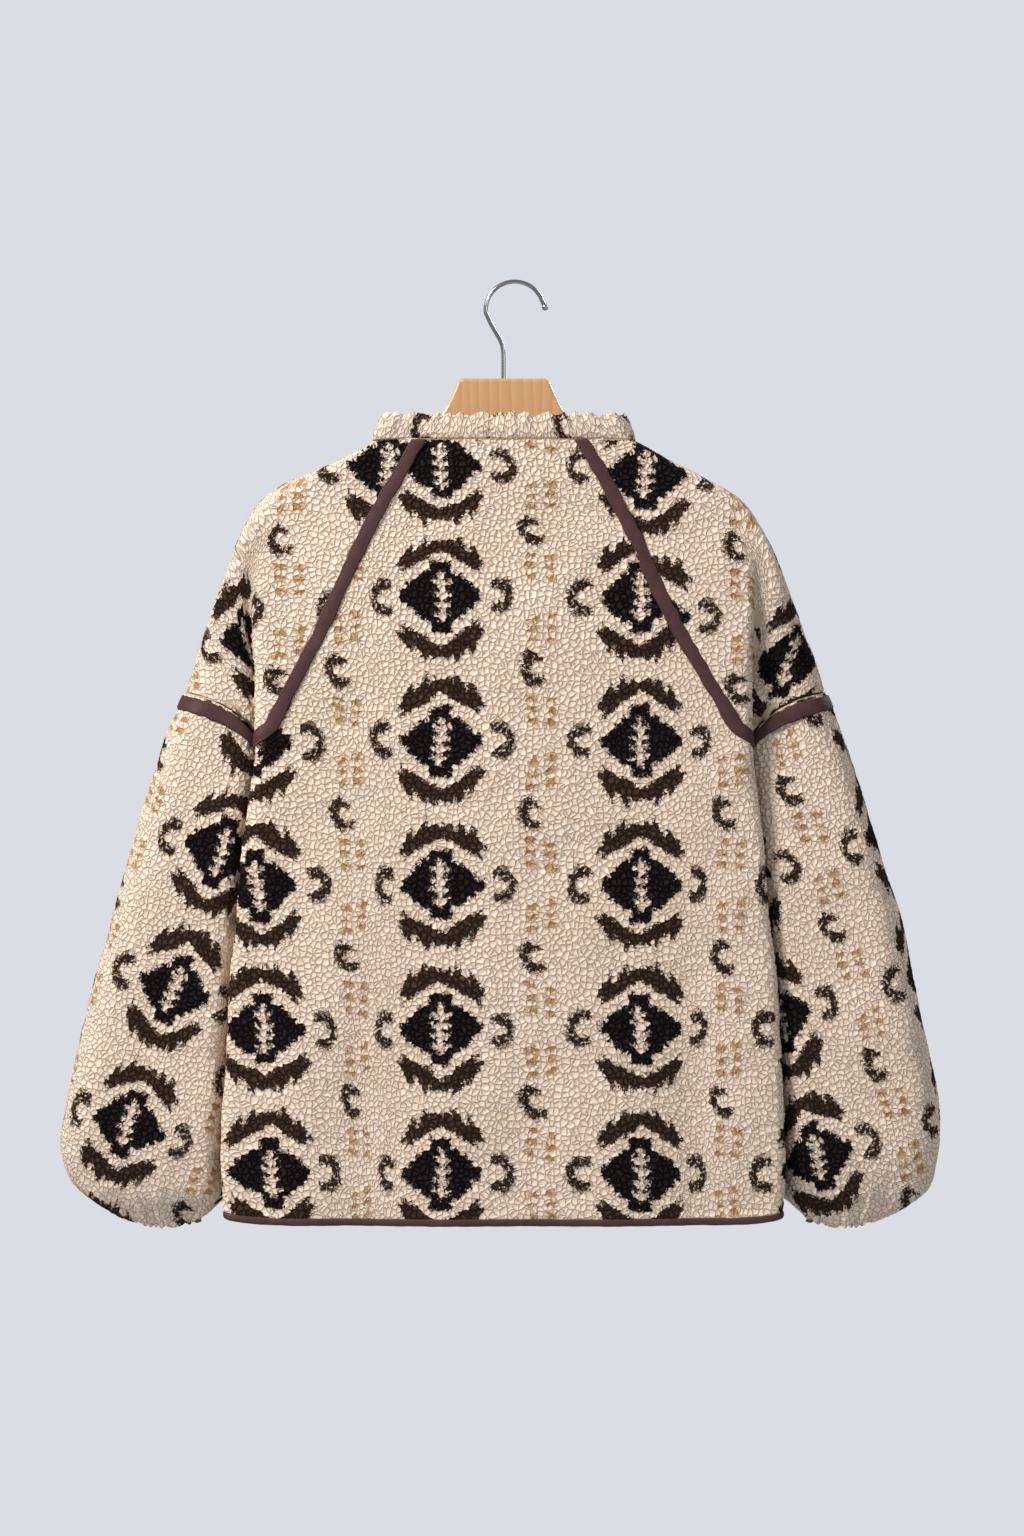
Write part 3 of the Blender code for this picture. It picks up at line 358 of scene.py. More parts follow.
def upper_sleeve_sheet(side):
    """An upper sleeve, from the neck to the arm band."""
    sheet = Sheet()
    hand = "left" if side < 0 else "right"
    anchor_out, anchor_down, shift = UPPER_FIGURES[side]
    for row in raglan_rows(UPPER_ROW_CELLS):
        if row > UNDERARM_ROW - 1e-6:
            lower_sleeve_row(sheet, 0, side, UPPER_CELLS * FINE + 1, True)
            break
        arm = float(smooth(UPPER, "row", "arm_" + hand, row))
        fold = {name: float(smooth(FOLDS, "row", name, row)) for name in FOLDS if name != "row"}
        flat = min(row, LAST_FLAT_ROW)
        back = float(smooth(UPPER, "row", "back_" + hand, flat)) - LEAD
        front = float(smooth(UPPER, "row", "front_out", flat)) - LEAD
        points, marks = soft_path(
            [
                (back, -HALF_DEPTH),
                (fold["crest"], -HALF_DEPTH),
                (fold["valley"], fold["valley_y"]),
                (fold["shoulder"], fold["sleeve_y"]),
                (arm, fold["sleeve_y"]),
                (arm, fold["sleeve_fy"]),
                (fold["shoulder_f"], fold["sleeve_fy"]),
                (fold["valley_f"], fold["valley_fy"]),
                (fold["crest_f"], HALF_DEPTH),
                (front, HALF_DEPTH),
            ],
            [0, *FOLD_TRIMS, ARM_ROUND, ARM_ROUND, *FOLD_TRIMS[::-1], 0],
        )
        turn = max(row - LAST_FLAT_ROW, 0)
        start = LEAD + turn * (marks[2] - LEAD) + seam_gap(row)
        end = marks[-1] - LEAD - turn * (marks[-1] - LEAD - marks[7]) - seam_gap(row)
        over = (marks[4] + marks[5]) / 2
        half = UPPER_CELLS * FINE // 2 + 1
        lengths = np.concatenate([np.linspace(start, over, half), np.linspace(over, end, half)[1:]])
        downs = [float(smooth(UPPER, "row", name, row)) for name in ("arm_down", "back_down", "front_down")]

        def row_at(lengths):
            out, y = at_lengths(points, lengths).T
            behind = lengths < over
            share = np.where(behind, (over - lengths) / (over - start), (lengths - over) / (end - over))
            fall = sleeve_fall(np.clip(share, 0, 1.01), float(ease(row, *BENT_ROWS)))
            down = downs[0] + (np.where(behind, downs[1], downs[2]) - downs[0]) * fall
            return place(side * out, y, down)

        def figure_at(lengths, placed):
            past = ease(lengths, marks[1], marks[3]) - ease(lengths, marks[6], marks[8])
            past = past * ease(row, 3, 5)
            spare = back + over - (front + marks[-1] - over)
            in_front = front + marks[-1] - lengths + spare * (end - lengths) / (end - over)
            level = np.where(lengths < over, back + lengths, in_front)
            down = -placed[:, 2] - anchor_down + shift[1] * past
            return np.stack([side * level - anchor_out + side * shift[0] * past, down], axis=-1)

        sheet.add(row_at, lengths, figure_at)
    sheet.points[-1][:, 2] += ARM_SEAM + UNDERARM_LIFT * near_underarm(sheet.points[-1])
    sheet.figures[-1] = 2 * sheet.figures[-2] - sheet.figures[-3]
    return sheet.close()


def lower_sleeve_row(sheet, row, side, count, opened=False):
    """Adds one ring of a lower sleeve, from its underarm line round the back, and on round the front."""
    hand = "left" if side < 0 else "right"
    value = {name: float(smooth(LOWER, "row", name, row)) for name in LOWER if name != "row"}
    outer, back, front = value[hand], value["back"], value["front"]
    inner = float(smooth(BODY, "down", "out", value["under"])) - TUCK / 2 + value["clear"]
    slant = INNER_SLANT * float(1 - ease(row, *CUFF_ROWS))
    round_over = min(ARM_ROUND, ROUND_SHARE * (front - back))
    points, marks = soft_path(
        [
            (inner, 0),
            (inner - slant * back, back),
            (outer, back),
            (outer, front),
            (inner - slant * front, front),
            (inner, 0),
        ],
        [0, INNER_TRIM, round_over, round_over, INNER_TRIM, 0],
    )
    full, over = marks[-1], (marks[2] + marks[3]) / 2
    gap = SEAM / 2 if opened else 0
    lengths = np.linspace(gap, full - gap, count)
    anchor_across, anchor_down, lean = LOWER_FIGURES[side]
    lean = math.radians(lean)

    def row_at(lengths):
        out, y = at_lengths(points, lengths % full if not opened else lengths).T
        share = np.where(lengths < over, (over - lengths) / over, (lengths - over) / (full - over))
        share = np.clip(share, 0, 1)
        tube = float(1 - ease(row, *TUBE_ROWS))
        fall = tube * sleeve_fall(share, 1.0) + (1 - tube) * (outer - out) / (outer - inner)
        turns = CUFF_PUCKERS * lengths / full + 0.3 * np.sin(9 * lengths / full * math.pi)
        gather = PUCKER_DEPTH * float(ease(row, *CUFF_ROWS)) * np.sin(2 * math.pi * turns)
        share = np.clip((outer - out) / (outer - inner), 0, 1)
        sag = CUFF_SAG * float(ease(row, *CUFF_ROWS)) * 4 * share * (1 - share)
        down = value["down"] + (value["under"] - value["down"]) * fall + np.abs(gather) + sag
        return place(side * out, y + 0.5 * gather, down)

    def figure_at(lengths, placed):
        behind = inner - slant * back + (lengths - marks[1])
        in_front = inner - slant * front + (marks[4] - lengths)
        spare = behind[len(behind) // 2] - in_front[len(behind) // 2]
        in_front += spare * (full - lengths) / (full - over)
        across = CENTRE + side * np.where(lengths < over, behind, in_front) - anchor_across
        down = -placed[:, 2] - anchor_down
        u = (across * math.cos(lean) - side * down * math.sin(lean)) / SLEEVE_DRAWN_IN
        return np.stack([u, side * across * math.sin(lean) + down * math.cos(lean)], axis=-1)

    sheet.add(row_at, lengths, figure_at)


def lower_sleeve_sheet(side):
    """A lower sleeve, from the arm band to the open cuff."""
    sheet = Sheet()
    falls = np.linspace(0, ARM_LENGTH, LOWER_ROW_CELLS * FINE + 1)
    for row in np.interp(falls + LOWER["down"][0], LOWER["down"], LOWER["row"]):
        lower_sleeve_row(sheet, row, side, LOWER_CELLS * FINE + 1)
    for fall, points in zip(falls, sheet.points):
        points[:, 2] -= UNDERARM_DROP * near_underarm(points) * (1 - ease(fall, *DROP_ENDS))
    return sheet.close()


def collar_sheet(front, back, sleeves):
    """The collar, a low gathered stand on the neck's edge that leans in at its ends."""
    first = front.points[0]
    half = FRONT_CELLS * FINE + 1
    left, right = sleeves[-1].points[0][::-1], sleeves[1].points[0]
    edge = np.concatenate([first[:half][::-1], left, back.points[0], right, first[-half:][::-1]])
    edge = edge[np.concatenate([[True], np.diff(along(edge)) > 0.2])] + (0, 0, COLLAR_GAP)
    lengths = along(edge)
    middle = back.points[0][int(np.interp(CENTRE, back.points[0][:, 0], np.arange(len(back.points[0]))))]
    start = lengths[np.argmin(np.linalg.norm(edge - middle, axis=1))]
    across = 1.35 * (np.linspace(0, lengths[-1], COLLAR_CELLS * FINE + 1) - start) + 4.5
    for _ in range(2):
        edge = at_lengths(edge, np.linspace(0, along(edge)[-1], len(across)))
        edge[1:-1] = (edge[:-2] + 2 * edge[1:-1] + edge[2:]) / 4
    lengths = along(edge)
    slope = np.gradient(edge, axis=0)
    outward = np.cross(slope, (0, 0, 1))
    outward /= np.linalg.norm(outward, axis=1, keepdims=True)
    outward *= np.sign(np.sum(outward * (edge - (CENTRE, 0, edge[0, 2]))))
    lean = COLLAR_LEAN * (edge[:, 0] - CENTRE) / np.abs(edge[:, 0] - CENTRE).max()
    gathers = np.sin(lengths * 0.42 + 1.7 * np.sin(lengths * 0.11)) * ease(lengths, 0, 30)
    sheet = Sheet()
    for share in np.linspace(1, 0, 2 * FINE + 1):
        roll = COLLAR_ROLL * math.sin(math.pi * share) ** 0.8 + GATHER_DEPTH * gathers * share
        row = edge + outward * roll[:, None]
        row[:, 0] -= lean * share
        row[:, 2] += COLLAR_HEIGHT * share + GATHER_RISE * gathers * share**3
        sheet.points.append(row)
        sheet.slopes.append(slope)
        sheet.figures.append(np.stack([across, np.full(len(across), 69.5 - 17 * share)], -1))
    return sheet.close()


# Meshes


def mesh_piece(name, vertices, faces, finishes, indices=None, smooth_faces=True):
    """A new object from points in millimetres, faces, and its finishes."""
    mesh = bpy.data.meshes.new(name)
    mesh.from_pydata([tuple(point) for point in np.asarray(vertices, float) * MM], [], faces)
    for finish in finishes:
        mesh.materials.append(finish)
    if indices is not None:
        mesh.polygons.foreach_set("material_index", indices)
    mesh.polygons.foreach_set("use_smooth", [smooth_faces] * len(mesh.polygons))
    return in_scene(bpy.data.objects.new(name, mesh))


def in_scene(made):
    """Links a new object to the scene."""
    bpy.context.scene.collection.objects.link(made)
    return made


def ride(piece, *nodes, slot, body="garment"):
    """Fixes a piece to its body, in place of its CAD nodes. The slot is not used."""
    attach(piece, body)
    if nodes:
        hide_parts(*nodes)


def cloth_piece(node, sheet, nub, missing=()):
    """A sheet of fleece as a closed mesh: fine and nubby outside, plain knit inside."""
    rows, columns = sheet.points.shape[:2]
    cell_rows, cell_columns = (rows - 1) // FINE, (columns - 1) // FINE
    there = np.ones((cell_rows + 2, cell_columns + 2), bool)
    there[[0, -1]] = False
    there[:, [0, -1]] = False
    for cells in missing:
        there[1:-1, 1:-1][cells] = False
    inner = sheet.points - WALL * sheet.out
    numbers = np.arange(rows * columns).reshape(rows, columns)
    inner_number, extra = {}, []

    def inside(i, j):
        if (i, j) not in inner_number:
            inner_number[i, j] = rows * columns + len(extra)
            extra.append(inner[i, j])
        return inner_number[i, j]

    keep = np.kron(there[1:-1, 1:-1], np.ones((FINE, FINE), bool))
    i, j = np.nonzero(keep)
    quads = np.stack([numbers[i, j], numbers[i + 1, j], numbers[i + 1, j + 1], numbers[i, j + 1]], -1)
    faces = [tuple(face) for face in quads.tolist()]
    outside_count = len(faces)
    for a in range(cell_rows):
        for b in range(cell_columns):
            if not there[a + 1, b + 1]:
                continue
            top, left = a * FINE, b * FINE
            steps = range(FINE)
            sides = [
                (there[a + 1, b], [(top + k, left) for k in steps]),
                (there[a + 2, b + 1], [(top + FINE, left + k) for k in steps]),
                (there[a + 1, b + 2], [(top + FINE - k, left + FINE) for k in steps]),
                (there[a, b + 1], [(top, left + FINE - k) for k in steps]),
            ]
            loop = []
            for k, (joined, places) in enumerate(sides):
                following = sides[(k + 1) % 4][1][0]
                loop += places[:1] if joined else places
                if not joined:
                    for one, two in zip(places, places[1:] + [following]):
                        faces.append((numbers[two], numbers[one], inside(*one), inside(*two)))
            faces.append(tuple(inside(*spot) for spot in reversed(loop)))
    points = np.concatenate([sheet.points.reshape(-1, 3), extra])
    if np.sum(np.cross(sheet.slopes, np.gradient(sheet.points, axis=0)) * sheet.out) < 0:
        faces = [face[::-1] for face in faces]
    indices = [0] * outside_count + [1] * (len(faces) - outside_count)
    piece = mesh_piece(node + "_fleece", points, faces, [FLEECE, KNIT], indices)
    mesh = piece.data
    loops = np.empty(len(mesh.loops), int)
    mesh.loops.foreach_get("vertex_index", loops)
    figures = np.concatenate([sheet.figures.reshape(-1, 2), [sheet.figures[spot] for spot in inner_number]])
    mesh.uv_layers.new(name="figures").data.foreach_set("uv", (figures[loops] * MM).ravel())
    weight = np.concatenate([nub.ravel(), np.zeros(len(extra))])
    mesh.attributes.new("nub", "FLOAT", "POINT").data.foreach_set("value", weight)
    raise_nubs(piece)
    ride(piece, node, slot="fleece")
    steps = [np.diff(sheet.points, axis=k) for k in (0, 1)]
    down, across = (np.linalg.norm(step, axis=2).sum(axis=k).max() * MM for k, step in enumerate(steps))
    area = np.linalg.norm(np.cross(steps[0][:, 1:], steps[1][1:]), axis=2).sum() * MM**2


def edge_fade(sheet, top=0, bottom=3, sides=4, least=0.35):
    """How high the nubs stand over a sheet, lower within a few steps of its edges."""
    rows, columns = sheet.points.shape[:2]
    i, j = np.indices((rows, columns))
    fade = np.ones((rows, columns))
    for reach, steps in ((top, i), (bottom, rows - 1 - i), (sides, j), (sides, columns - 1 - j)):
        if reach:
            fade = np.minimum(fade, least + (1 - least) * ease(steps, 0, reach))
    return fade


# Finishes


class Value:
    """A number that changes over a surface. Arithmetic on it adds Math nodes."""

    def __init__(self, recipe, socket):
        self.recipe, self.socket = recipe, socket

    def math(self, operation, *others):
        return self.recipe.add("ShaderNodeMath", {"operation": operation}, [self, *others])

    def __add__(self, other):
        return self.math("ADD", other)

    __radd__ = __add__

    def __sub__(self, other):
        return self.math("SUBTRACT", other)

    def __rsub__(self, other):
        return self.recipe.add("ShaderNodeMath", {"operation": "SUBTRACT"}, [other, self])

    def __mul__(self, other):
        return self.math("MULTIPLY", other)

    __rmul__ = __mul__

    def __truediv__(self, other):
        return self.math("DIVIDE", other)

    def __abs__(self):
        return self.math("ABSOLUTE")

    def wrap(self, low, high):
        """The number folded back into a span that repeats."""
        return self.math("WRAP", high, low)

    def rise(self, low, high):
        """Nought below low, one above high, and a soft rise between them."""
        return self.recipe.add(
            "ShaderNodeMapRange",
            {"interpolation_type": "SMOOTHSTEP"},
            {"Value": self, "From Min": low, "From Max": high},
            "Result",
        )

    def either(self, other):
        return self.math("MAXIMUM", other)

    def output(self, name):
        """Another output of the node that gave this."""
        return Value(self.recipe, self.socket.node.outputs[name])


class Recipe:
    """The nodes of one finish, or of one change of shape."""

    def __init__(self, tree):
        self.tree = tree

    def add(self, kind, settings=None, sockets=None, output=0):
        """Adds a node with its settings, then its sockets, and gives back one of its outputs."""
        node = self.tree.nodes.new(kind)
        for name, setting in (settings or {}).items():
            setattr(node, name, setting)
        pairs = enumerate(sockets or []) if isinstance(sockets, (list, tuple)) else (sockets or {}).items()
        for key, given in pairs:
            socket = node.inputs[key]
            if isinstance(key, str) and not socket.enabled:
                socket = next(one for one in node.inputs if one.name == key and one.enabled)
            if isinstance(given, Value):
                self.tree.links.new(given.socket, socket)
            else:
                socket.default_value = given
        outputs = [one for one in node.outputs if one.enabled]
        if isinstance(output, str):
            return Value(self, next(one for one in outputs if one.name == output))
        return Value(self, outputs[output]) if outputs else node

    def blend(self, share, first, second):
        """A mix of two colours."""
        sockets = {"Factor": share, "A": first, "B": second}
        return self.add("ShaderNodeMix", {"data_type": "RGBA"}, sockets, "Result")

    def vector(self, operation, *vectors, scale=None):
        """Arithmetic on vectors."""
        made = self.add("ShaderNodeVectorMath", {"operation": operation}, list(vectors))
        if scale is not None:
            made.socket.node.inputs["Scale"].default_value = scale
        return made

    def noise(self, at, scale, detail=2.0, rough=0.5, flat=False, colour=False):
        """Soft noise, as a number about a half or as a colour."""
        settings = {"noise_dimensions": "2D" if flat else "3D"}
        sockets = {"Vector": at, "Scale": scale, "Detail": detail, "Roughness": rough}
        return self.add("ShaderNodeTexNoise", settings, sockets, "Color" if colour else 0)

    def waves(self, at, scale, direction="DIAGONAL", bends=None, profile="SIN"):
        """Bands that repeat, which may bend."""
        settings = {"bands_direction": direction, "wave_profile": profile}
        sockets = {"Vector": at, "Scale": scale, **(bends or {})}
        return self.add("ShaderNodeTexWave", settings, sockets, "Fac")

    def chance(self, at):
        """A chance number for each place."""
        return self.add("ShaderNodeTexWhiteNoise", {"noise_dimensions": "2D"}, {"Vector": at}, "Value")

    def here(self, across=1 / MM, deep=None, up=None):
        """A place on the piece, in millimetres or drawn out along its axes."""
        scale = (across, deep or across, up or across)
        return self.vector("MULTIPLY", self.add("ShaderNodeTexCoord", {}, {}, "Object"), scale)


def srgb(red, green, blue):
    """A colour as read off a screen, in the units of the shader."""
    units = [value / 255 for value in (red, green, blue)]
    linear = [value / 12.92 if value <= 0.04045 else ((value + 0.055) / 1.055) ** 2.4 for value in units]
    return (*linear, 1.0)


def toned(colour, share):
    """A colour made lighter or darker."""
    return (*(share * value for value in colour[:3]), 1.0)


def socket_name(key):
    """The shader's own name for one of its sockets."""
    return key.replace("_", " ").title().replace("Ior", "IOR")


def new_finish(name, **plain):
    """A material, its recipe and its shader, with the plain values that its sockets start from."""
    material = bpy.data.materials.new(name)
    material.use_nodes = True
    shader = material.node_tree.nodes["Principled BSDF"]
    for key, value in plain.items():
        shader.inputs[socket_name(key)].default_value = value
    return material, Recipe(material.node_tree), shader


def feed(recipe, shader, **values):
    """Links values to the shader's sockets."""
    for key, value in values.items():
        recipe.tree.links.new(value.socket, shader.inputs[socket_name(key)])


def bump(recipe, height, distance, strength=1.0):
    """A bump of a height that is stated in millimetres."""
    sockets = {"Height": height, "Distance": distance * MM, "Strength": strength}
    return recipe.add("ShaderNodeBump", {}, sockets, "Normal")


def stirred(recipe, at, scale, reach, detail=1.0):
    """Places on the cloth moved about by soft noise, by up to about half the reach."""
    noise = recipe.noise(at, scale, detail, 0.6, flat=True, colour=True)
    push = recipe.vector("SUBTRACT", noise, (0.5,) * 3)
    return recipe.vector("ADD", at, recipe.vector("SCALE", push, scale=reach))


def nub_field(recipe, at):
    """The pile's nubs at a place on the cloth: how far from a nub's edge, and the middle of the nub."""
    moved = stirred(recipe, at, 0.16, 3.0)
    sockets = {"Vector": moved, "Scale": 1 / NUB_SIZE, "Randomness": 1.0}
    flat = {"voronoi_dimensions": "2D"}
    edge = recipe.add("ShaderNodeTexVoronoi", {**flat, "feature": "DISTANCE_TO_EDGE"}, sockets, "Distance")
    nub = recipe.add("ShaderNodeTexVoronoi", {**flat, "feature": "F1"}, sockets, "Position")
    return edge, nub, moved


def dome(edge, nub):
    """A nub's rounded height, nought in the crease round it and one at its middle."""
    off_middle = nub.output("Distance")
    return edge.rise(-0.05, 0.28) * (1 - 0.6 * off_middle * off_middle)


def raise_nubs(piece):
    """Raises the pile's nubs on a sheet, on the same field as its finish."""
    tree = bpy.data.node_groups.get("pile_nubs")
    if tree is None:
        tree = bpy.data.node_groups.new("pile_nubs", "GeometryNodeTree")
        tree.interface.new_socket("Geometry", in_out="INPUT", socket_type="NodeSocketGeometry")
        tree.interface.new_socket("Geometry", in_out="OUTPUT", socket_type="NodeSocketGeometry")
        recipe = Recipe(tree)
        came = tree.nodes.new("NodeGroupInput")
        vector, number = {"data_type": "FLOAT_VECTOR"}, {"data_type": "FLOAT"}
        figures = recipe.add("GeometryNodeInputNamedAttribute", vector, {"Name": "figures"}, "Attribute")
        weight = recipe.add("GeometryNodeInputNamedAttribute", number, {"Name": "nub"}, "Attribute")
        at = recipe.vector("SCALE", figures, scale=1 / MM)
        edge, nub, moved = nub_field(recipe, at)
        uneven = recipe.chance(nub)
        swell = (recipe.noise(at, SWELL_SCALE, 1.0, flat=True) - 0.5) * SWELL_HEIGHT
        nubs = dome(edge, nub) * (0.7 + 0.6 * uneven) * NUB_HEIGHT - NUB_SUNK
        height = (nubs + swell * weight) * weight * MM
        normal = Value(recipe, tree.nodes.new("GeometryNodeInputNormal").outputs[0])
        offset = recipe.vector("SCALE", normal)
        tree.links.new(height.socket, offset.socket.node.inputs["Scale"])
        moved = recipe.add("GeometryNodeSetPosition", {}, {"Offset": offset})
        tree.links.new(came.outputs[0], moved.socket.node.inputs["Geometry"])
        gone = tree.nodes.new("NodeGroupOutput")
        tree.links.new(moved.socket, gone.inputs[0])
    modifier = piece.modifiers.new("pile_nubs", "NODES")
    modifier.node_group = tree


# The lighter cream is partly paler tone at random and partly a painted highlight on the nubs' tops.
CREAM, CREAM_TONE_AND_HIGHLIGHT = srgb(233, 210, 189), srgb(248, 232, 215)
# The aged tone is laid on at random; the crease colour beside it is painted shade between the nubs.
AGED, CREASE_SHADE = srgb(206, 178, 142), srgb(172, 125, 94)
# The lighter black and the lighter brown are painted highlights on the nubs' tops, of random strength; the
# plain ones also fill the creases as painted shade.
BLACK, BLACK_TONE_AND_HIGHLIGHT = srgb(15, 10, 12), srgb(62, 51, 51)
BROWN, BROWN_TONE_AND_HIGHLIGHT = srgb(42, 29, 22), srgb(100, 77, 60)
GOLD, GOLD_DEEP = srgb(184, 144, 88), srgb(150, 108, 56)


def ellipse(across, down, half_across, half_down):
    """How far inside an ellipse a place lies: one at its middle and nought at its edge."""
    return 1 - (across / half_across).math("POWER", 2.0) - (down / half_down).math("POWER", 2.0)


def figure_masks(across, down):
    """The traditional figures on the cloth: black lozenge, brown roofs and brackets, gold dashes."""
    u = across.wrap(-FIGURE_ACROSS / 2, FIGURE_ACROSS / 2)
    v = down.wrap(-FIGURE_DOWN / 2, FIGURE_DOWN / 2)
    a, b = abs(u), abs(v)
    soft, softer = (-0.5, 0.5), (-0.8, 0.8)
    stepped = 35.0
    for step, low in ((6.5, 5), (5.5, 10.5), (5.5, 15), (8.5, 19.5)):
        stepped = stepped - step * b.rise(low, low + 1)
    lozenge = (stepped - a).rise(*soft) * (30.5 - b).rise(*soft)
    line = (2.0 - a).rise(*soft) * (21 - b).rise(*soft)
    barbs = abs((v + 0.7 * a).wrap(-4.5, 4.5)) * -1 + 1.7
    arrows = barbs.rise(*soft) * (7.0 - a).rise(*soft) * (19 - b).rise(*soft)
    black = lozenge * (1 - line.either(arrows))
    teeth = (a + 0.6 * b).wrap(0, 7.8)
    outer = 51.0 - 0.3 * a - 0.46 * (a - 14).math("MAXIMUM", 0.0) + teeth * (0.5 + 1.0 * a.rise(4, 15))
    inner = 41.0 - 0.62 * a
    roof = (outer - b).rise(*soft) * (b - inner).rise(*soft) * (31.0 + teeth * 1.0 - a).rise(*soft)
    x = a - 52.5
    claws = (b + 0.5 * x).wrap(0, 7.5)
    ring = ellipse(x + 2, b, 13, 16.5) - claws * 0.045 + 0.1
    hollow = ellipse(x + 6, b, 9.5, 6.5)
    bracket = ring.rise(-0.1, 0.1) * (1 - hollow.rise(-0.15, 0.15)) * (x + 9.5).rise(*soft)
    u_mid = (across + FIGURE_ACROSS / 2).wrap(-FIGURE_ACROSS / 2, FIGURE_ACROSS / 2)
    v_mid = (down + FIGURE_DOWN / 2).wrap(-FIGURE_DOWN / 2, FIGURE_DOWN / 2)
    x = u_mid + 8 - 0.22 * v_mid
    claws = (v_mid - 0.6 * x).wrap(0, 7.0)
    ring = ellipse(x, v_mid, 13, 15.0) + 0.1 - claws * 0.05
    hollow = ellipse(x - 5.0, v_mid, 9.0, 6.0)
    hook = ring.rise(-0.1, 0.1) * (1 - hollow.rise(-0.15, 0.15)) * (9.5 - x).rise(*soft)
    row = (b - 26) + 0.18 * u_mid
    dash_row = (2.6 - abs(row.wrap(-4.85, 4.85))).rise(*softer) * (14.2 - abs(row)).rise(*soft)
    dashes = dash_row * (4.7 - abs(abs(u_mid) - 8.2)).rise(*softer)
    return black, roof, bracket.either(hook), dashes


def fleece_finish():
    """Curly teddy pile: nubs with painted shade in the creases between them and painted highlights on their
    tops, and figures whose edges follow the nubs.
    """
    material, recipe, shader = new_finish("teddy_fleece", roughness=0.95, specular_ior_level=0.05)
    at = recipe.vector("SCALE", recipe.add("ShaderNodeUVMap", {"uv_map": "figures"}), scale=1 / MM)
    edge, nub, moved = nub_field(recipe, at)
    pulled = recipe.vector("SCALE", recipe.vector("SUBTRACT", nub, moved), scale=0.36)
    looked = stirred(recipe, recipe.vector("ADD", at, pulled), 0.4, 8.5, 3.0)
    looked = stirred(recipe, stirred(recipe, looked, 0.95, 5.0, 2.0), 0.021, 9.0)
    apart = recipe.add("ShaderNodeSeparateXYZ", {}, [looked], "X")
    black, roof, marks, dashes = figure_masks(apart, apart.output("Y"))
    curl = recipe.noise(at, 0.75, 3.0, 0.65, flat=True)
    tint = recipe.noise(at, 0.012, 2.0, flat=True)
    own = recipe.chance(nub)
    broken = recipe.noise(at, 0.22, 2.0, flat=True).rise(0.3, 0.62)
    # crown is nought in the creases between nubs, where the cream turns to painted crease shade; broken noise
    # makes some creases fainter.
    crown = edge.rise(0.0, 0.11).either(1 - (0.3 + 0.55 * broken))
    # lit: lighter cream at random in curls and per nub, and a painted highlight towards each nub's middle.
    lit = (curl - 0.5) * 1.9 + 0.25 + 0.45 * own + 0.2 * edge.rise(0.05, 0.4)
    cream = recipe.blend(crown, CREASE_SHADE, recipe.blend(lit.rise(0, 1.0), CREAM, CREAM_TONE_AND_HIGHLIGHT))
    cream = recipe.blend((tint - 0.5) * 0.35 + 0.06, cream, AGED)
    gold = recipe.blend(own, GOLD, GOLD_DEEP)
    colour = recipe.blend(dashes * (0.7 + 0.3 * curl.rise(0.35, 0.6)), cream, gold)
    # dark_lit: a painted highlight towards each nub's middle in the black and brown figures, of random
    # strength, and painted shade in the creases.
    dark_lit = (curl.rise(0.42, 0.7) * 0.65 + own * 0.35) * edge.rise(0.05, 0.35)
    brown = recipe.blend(dark_lit, BROWN, BROWN_TONE_AND_HIGHLIGHT)
    mottle = recipe.noise(at, 0.3, 2.0, 0.6, flat=True).rise(0.3, 0.42)
    colour = recipe.blend(marks * (0.2 + 0.8 * mottle), colour, brown)
    colour = recipe.blend(roof, colour, brown)
    colour = recipe.blend(black, colour, recipe.blend(dark_lit, BLACK, BLACK_TONE_AND_HIGHLIGHT))
    fibres = recipe.noise(at, 2.2, 2.0, 0.6, flat=True)
    height = dome(edge, nub) * 1.25 + (curl - 0.5) * 0.6 + (fibres - 0.5) * 0.55
    feed(recipe, shader, base_color=colour, normal=bump(recipe, height, 1.0, 0.95))
    return material


def knit_finish():
    """The plain knit back of the fleece."""
    material, recipe, shader = new_finish("knit_back", roughness=0.9, specular_ior_level=0.2)
    at = recipe.here()
    rib, fuzz = recipe.waves(at, 0.35, "X", {"Distortion": 1.5}), recipe.noise(at, 0.8)
    colour = recipe.blend(rib * 0.5 + fuzz * 0.5, srgb(176, 152, 124), srgb(214, 194, 166))
    feed(recipe, shader, base_color=colour, normal=bump(recipe, rib + fuzz * 0.5, 0.3))
    return material


def tape_finish(name, base, deep):
    """Smooth woven tape, with a fine twill whose crowns are lighter."""
    material, recipe, shader = new_finish(name, roughness=0.62, specular_ior_level=0.35)
    at = recipe.here()
    twill, soil, dents = recipe.waves(at, 0.9), recipe.noise(at, 0.05, 4.0, 0.6), recipe.noise(at, 0.12, 2.0)
    colour = recipe.blend(soil.rise(0.3, 0.7), base, deep)
    colour = recipe.blend(twill * 0.25, colour, toned(base, 1.5))
    normal = bump(recipe, twill * 0.12 + dents * 0.9, 1.0, 0.6)
    feed(recipe, shader, base_color=colour, roughness=0.52 + 0.2 * soil, normal=normal)
    return material


def thread_finish():
    """Twisted sewing thread."""
    material, recipe, shader = new_finish("brown_thread", roughness=0.7)
    twist = recipe.waves(recipe.here(), 1.2)
    feed(recipe, shader, base_color=recipe.blend(twist, srgb(58, 34, 32), srgb(96, 62, 56)))
    return material


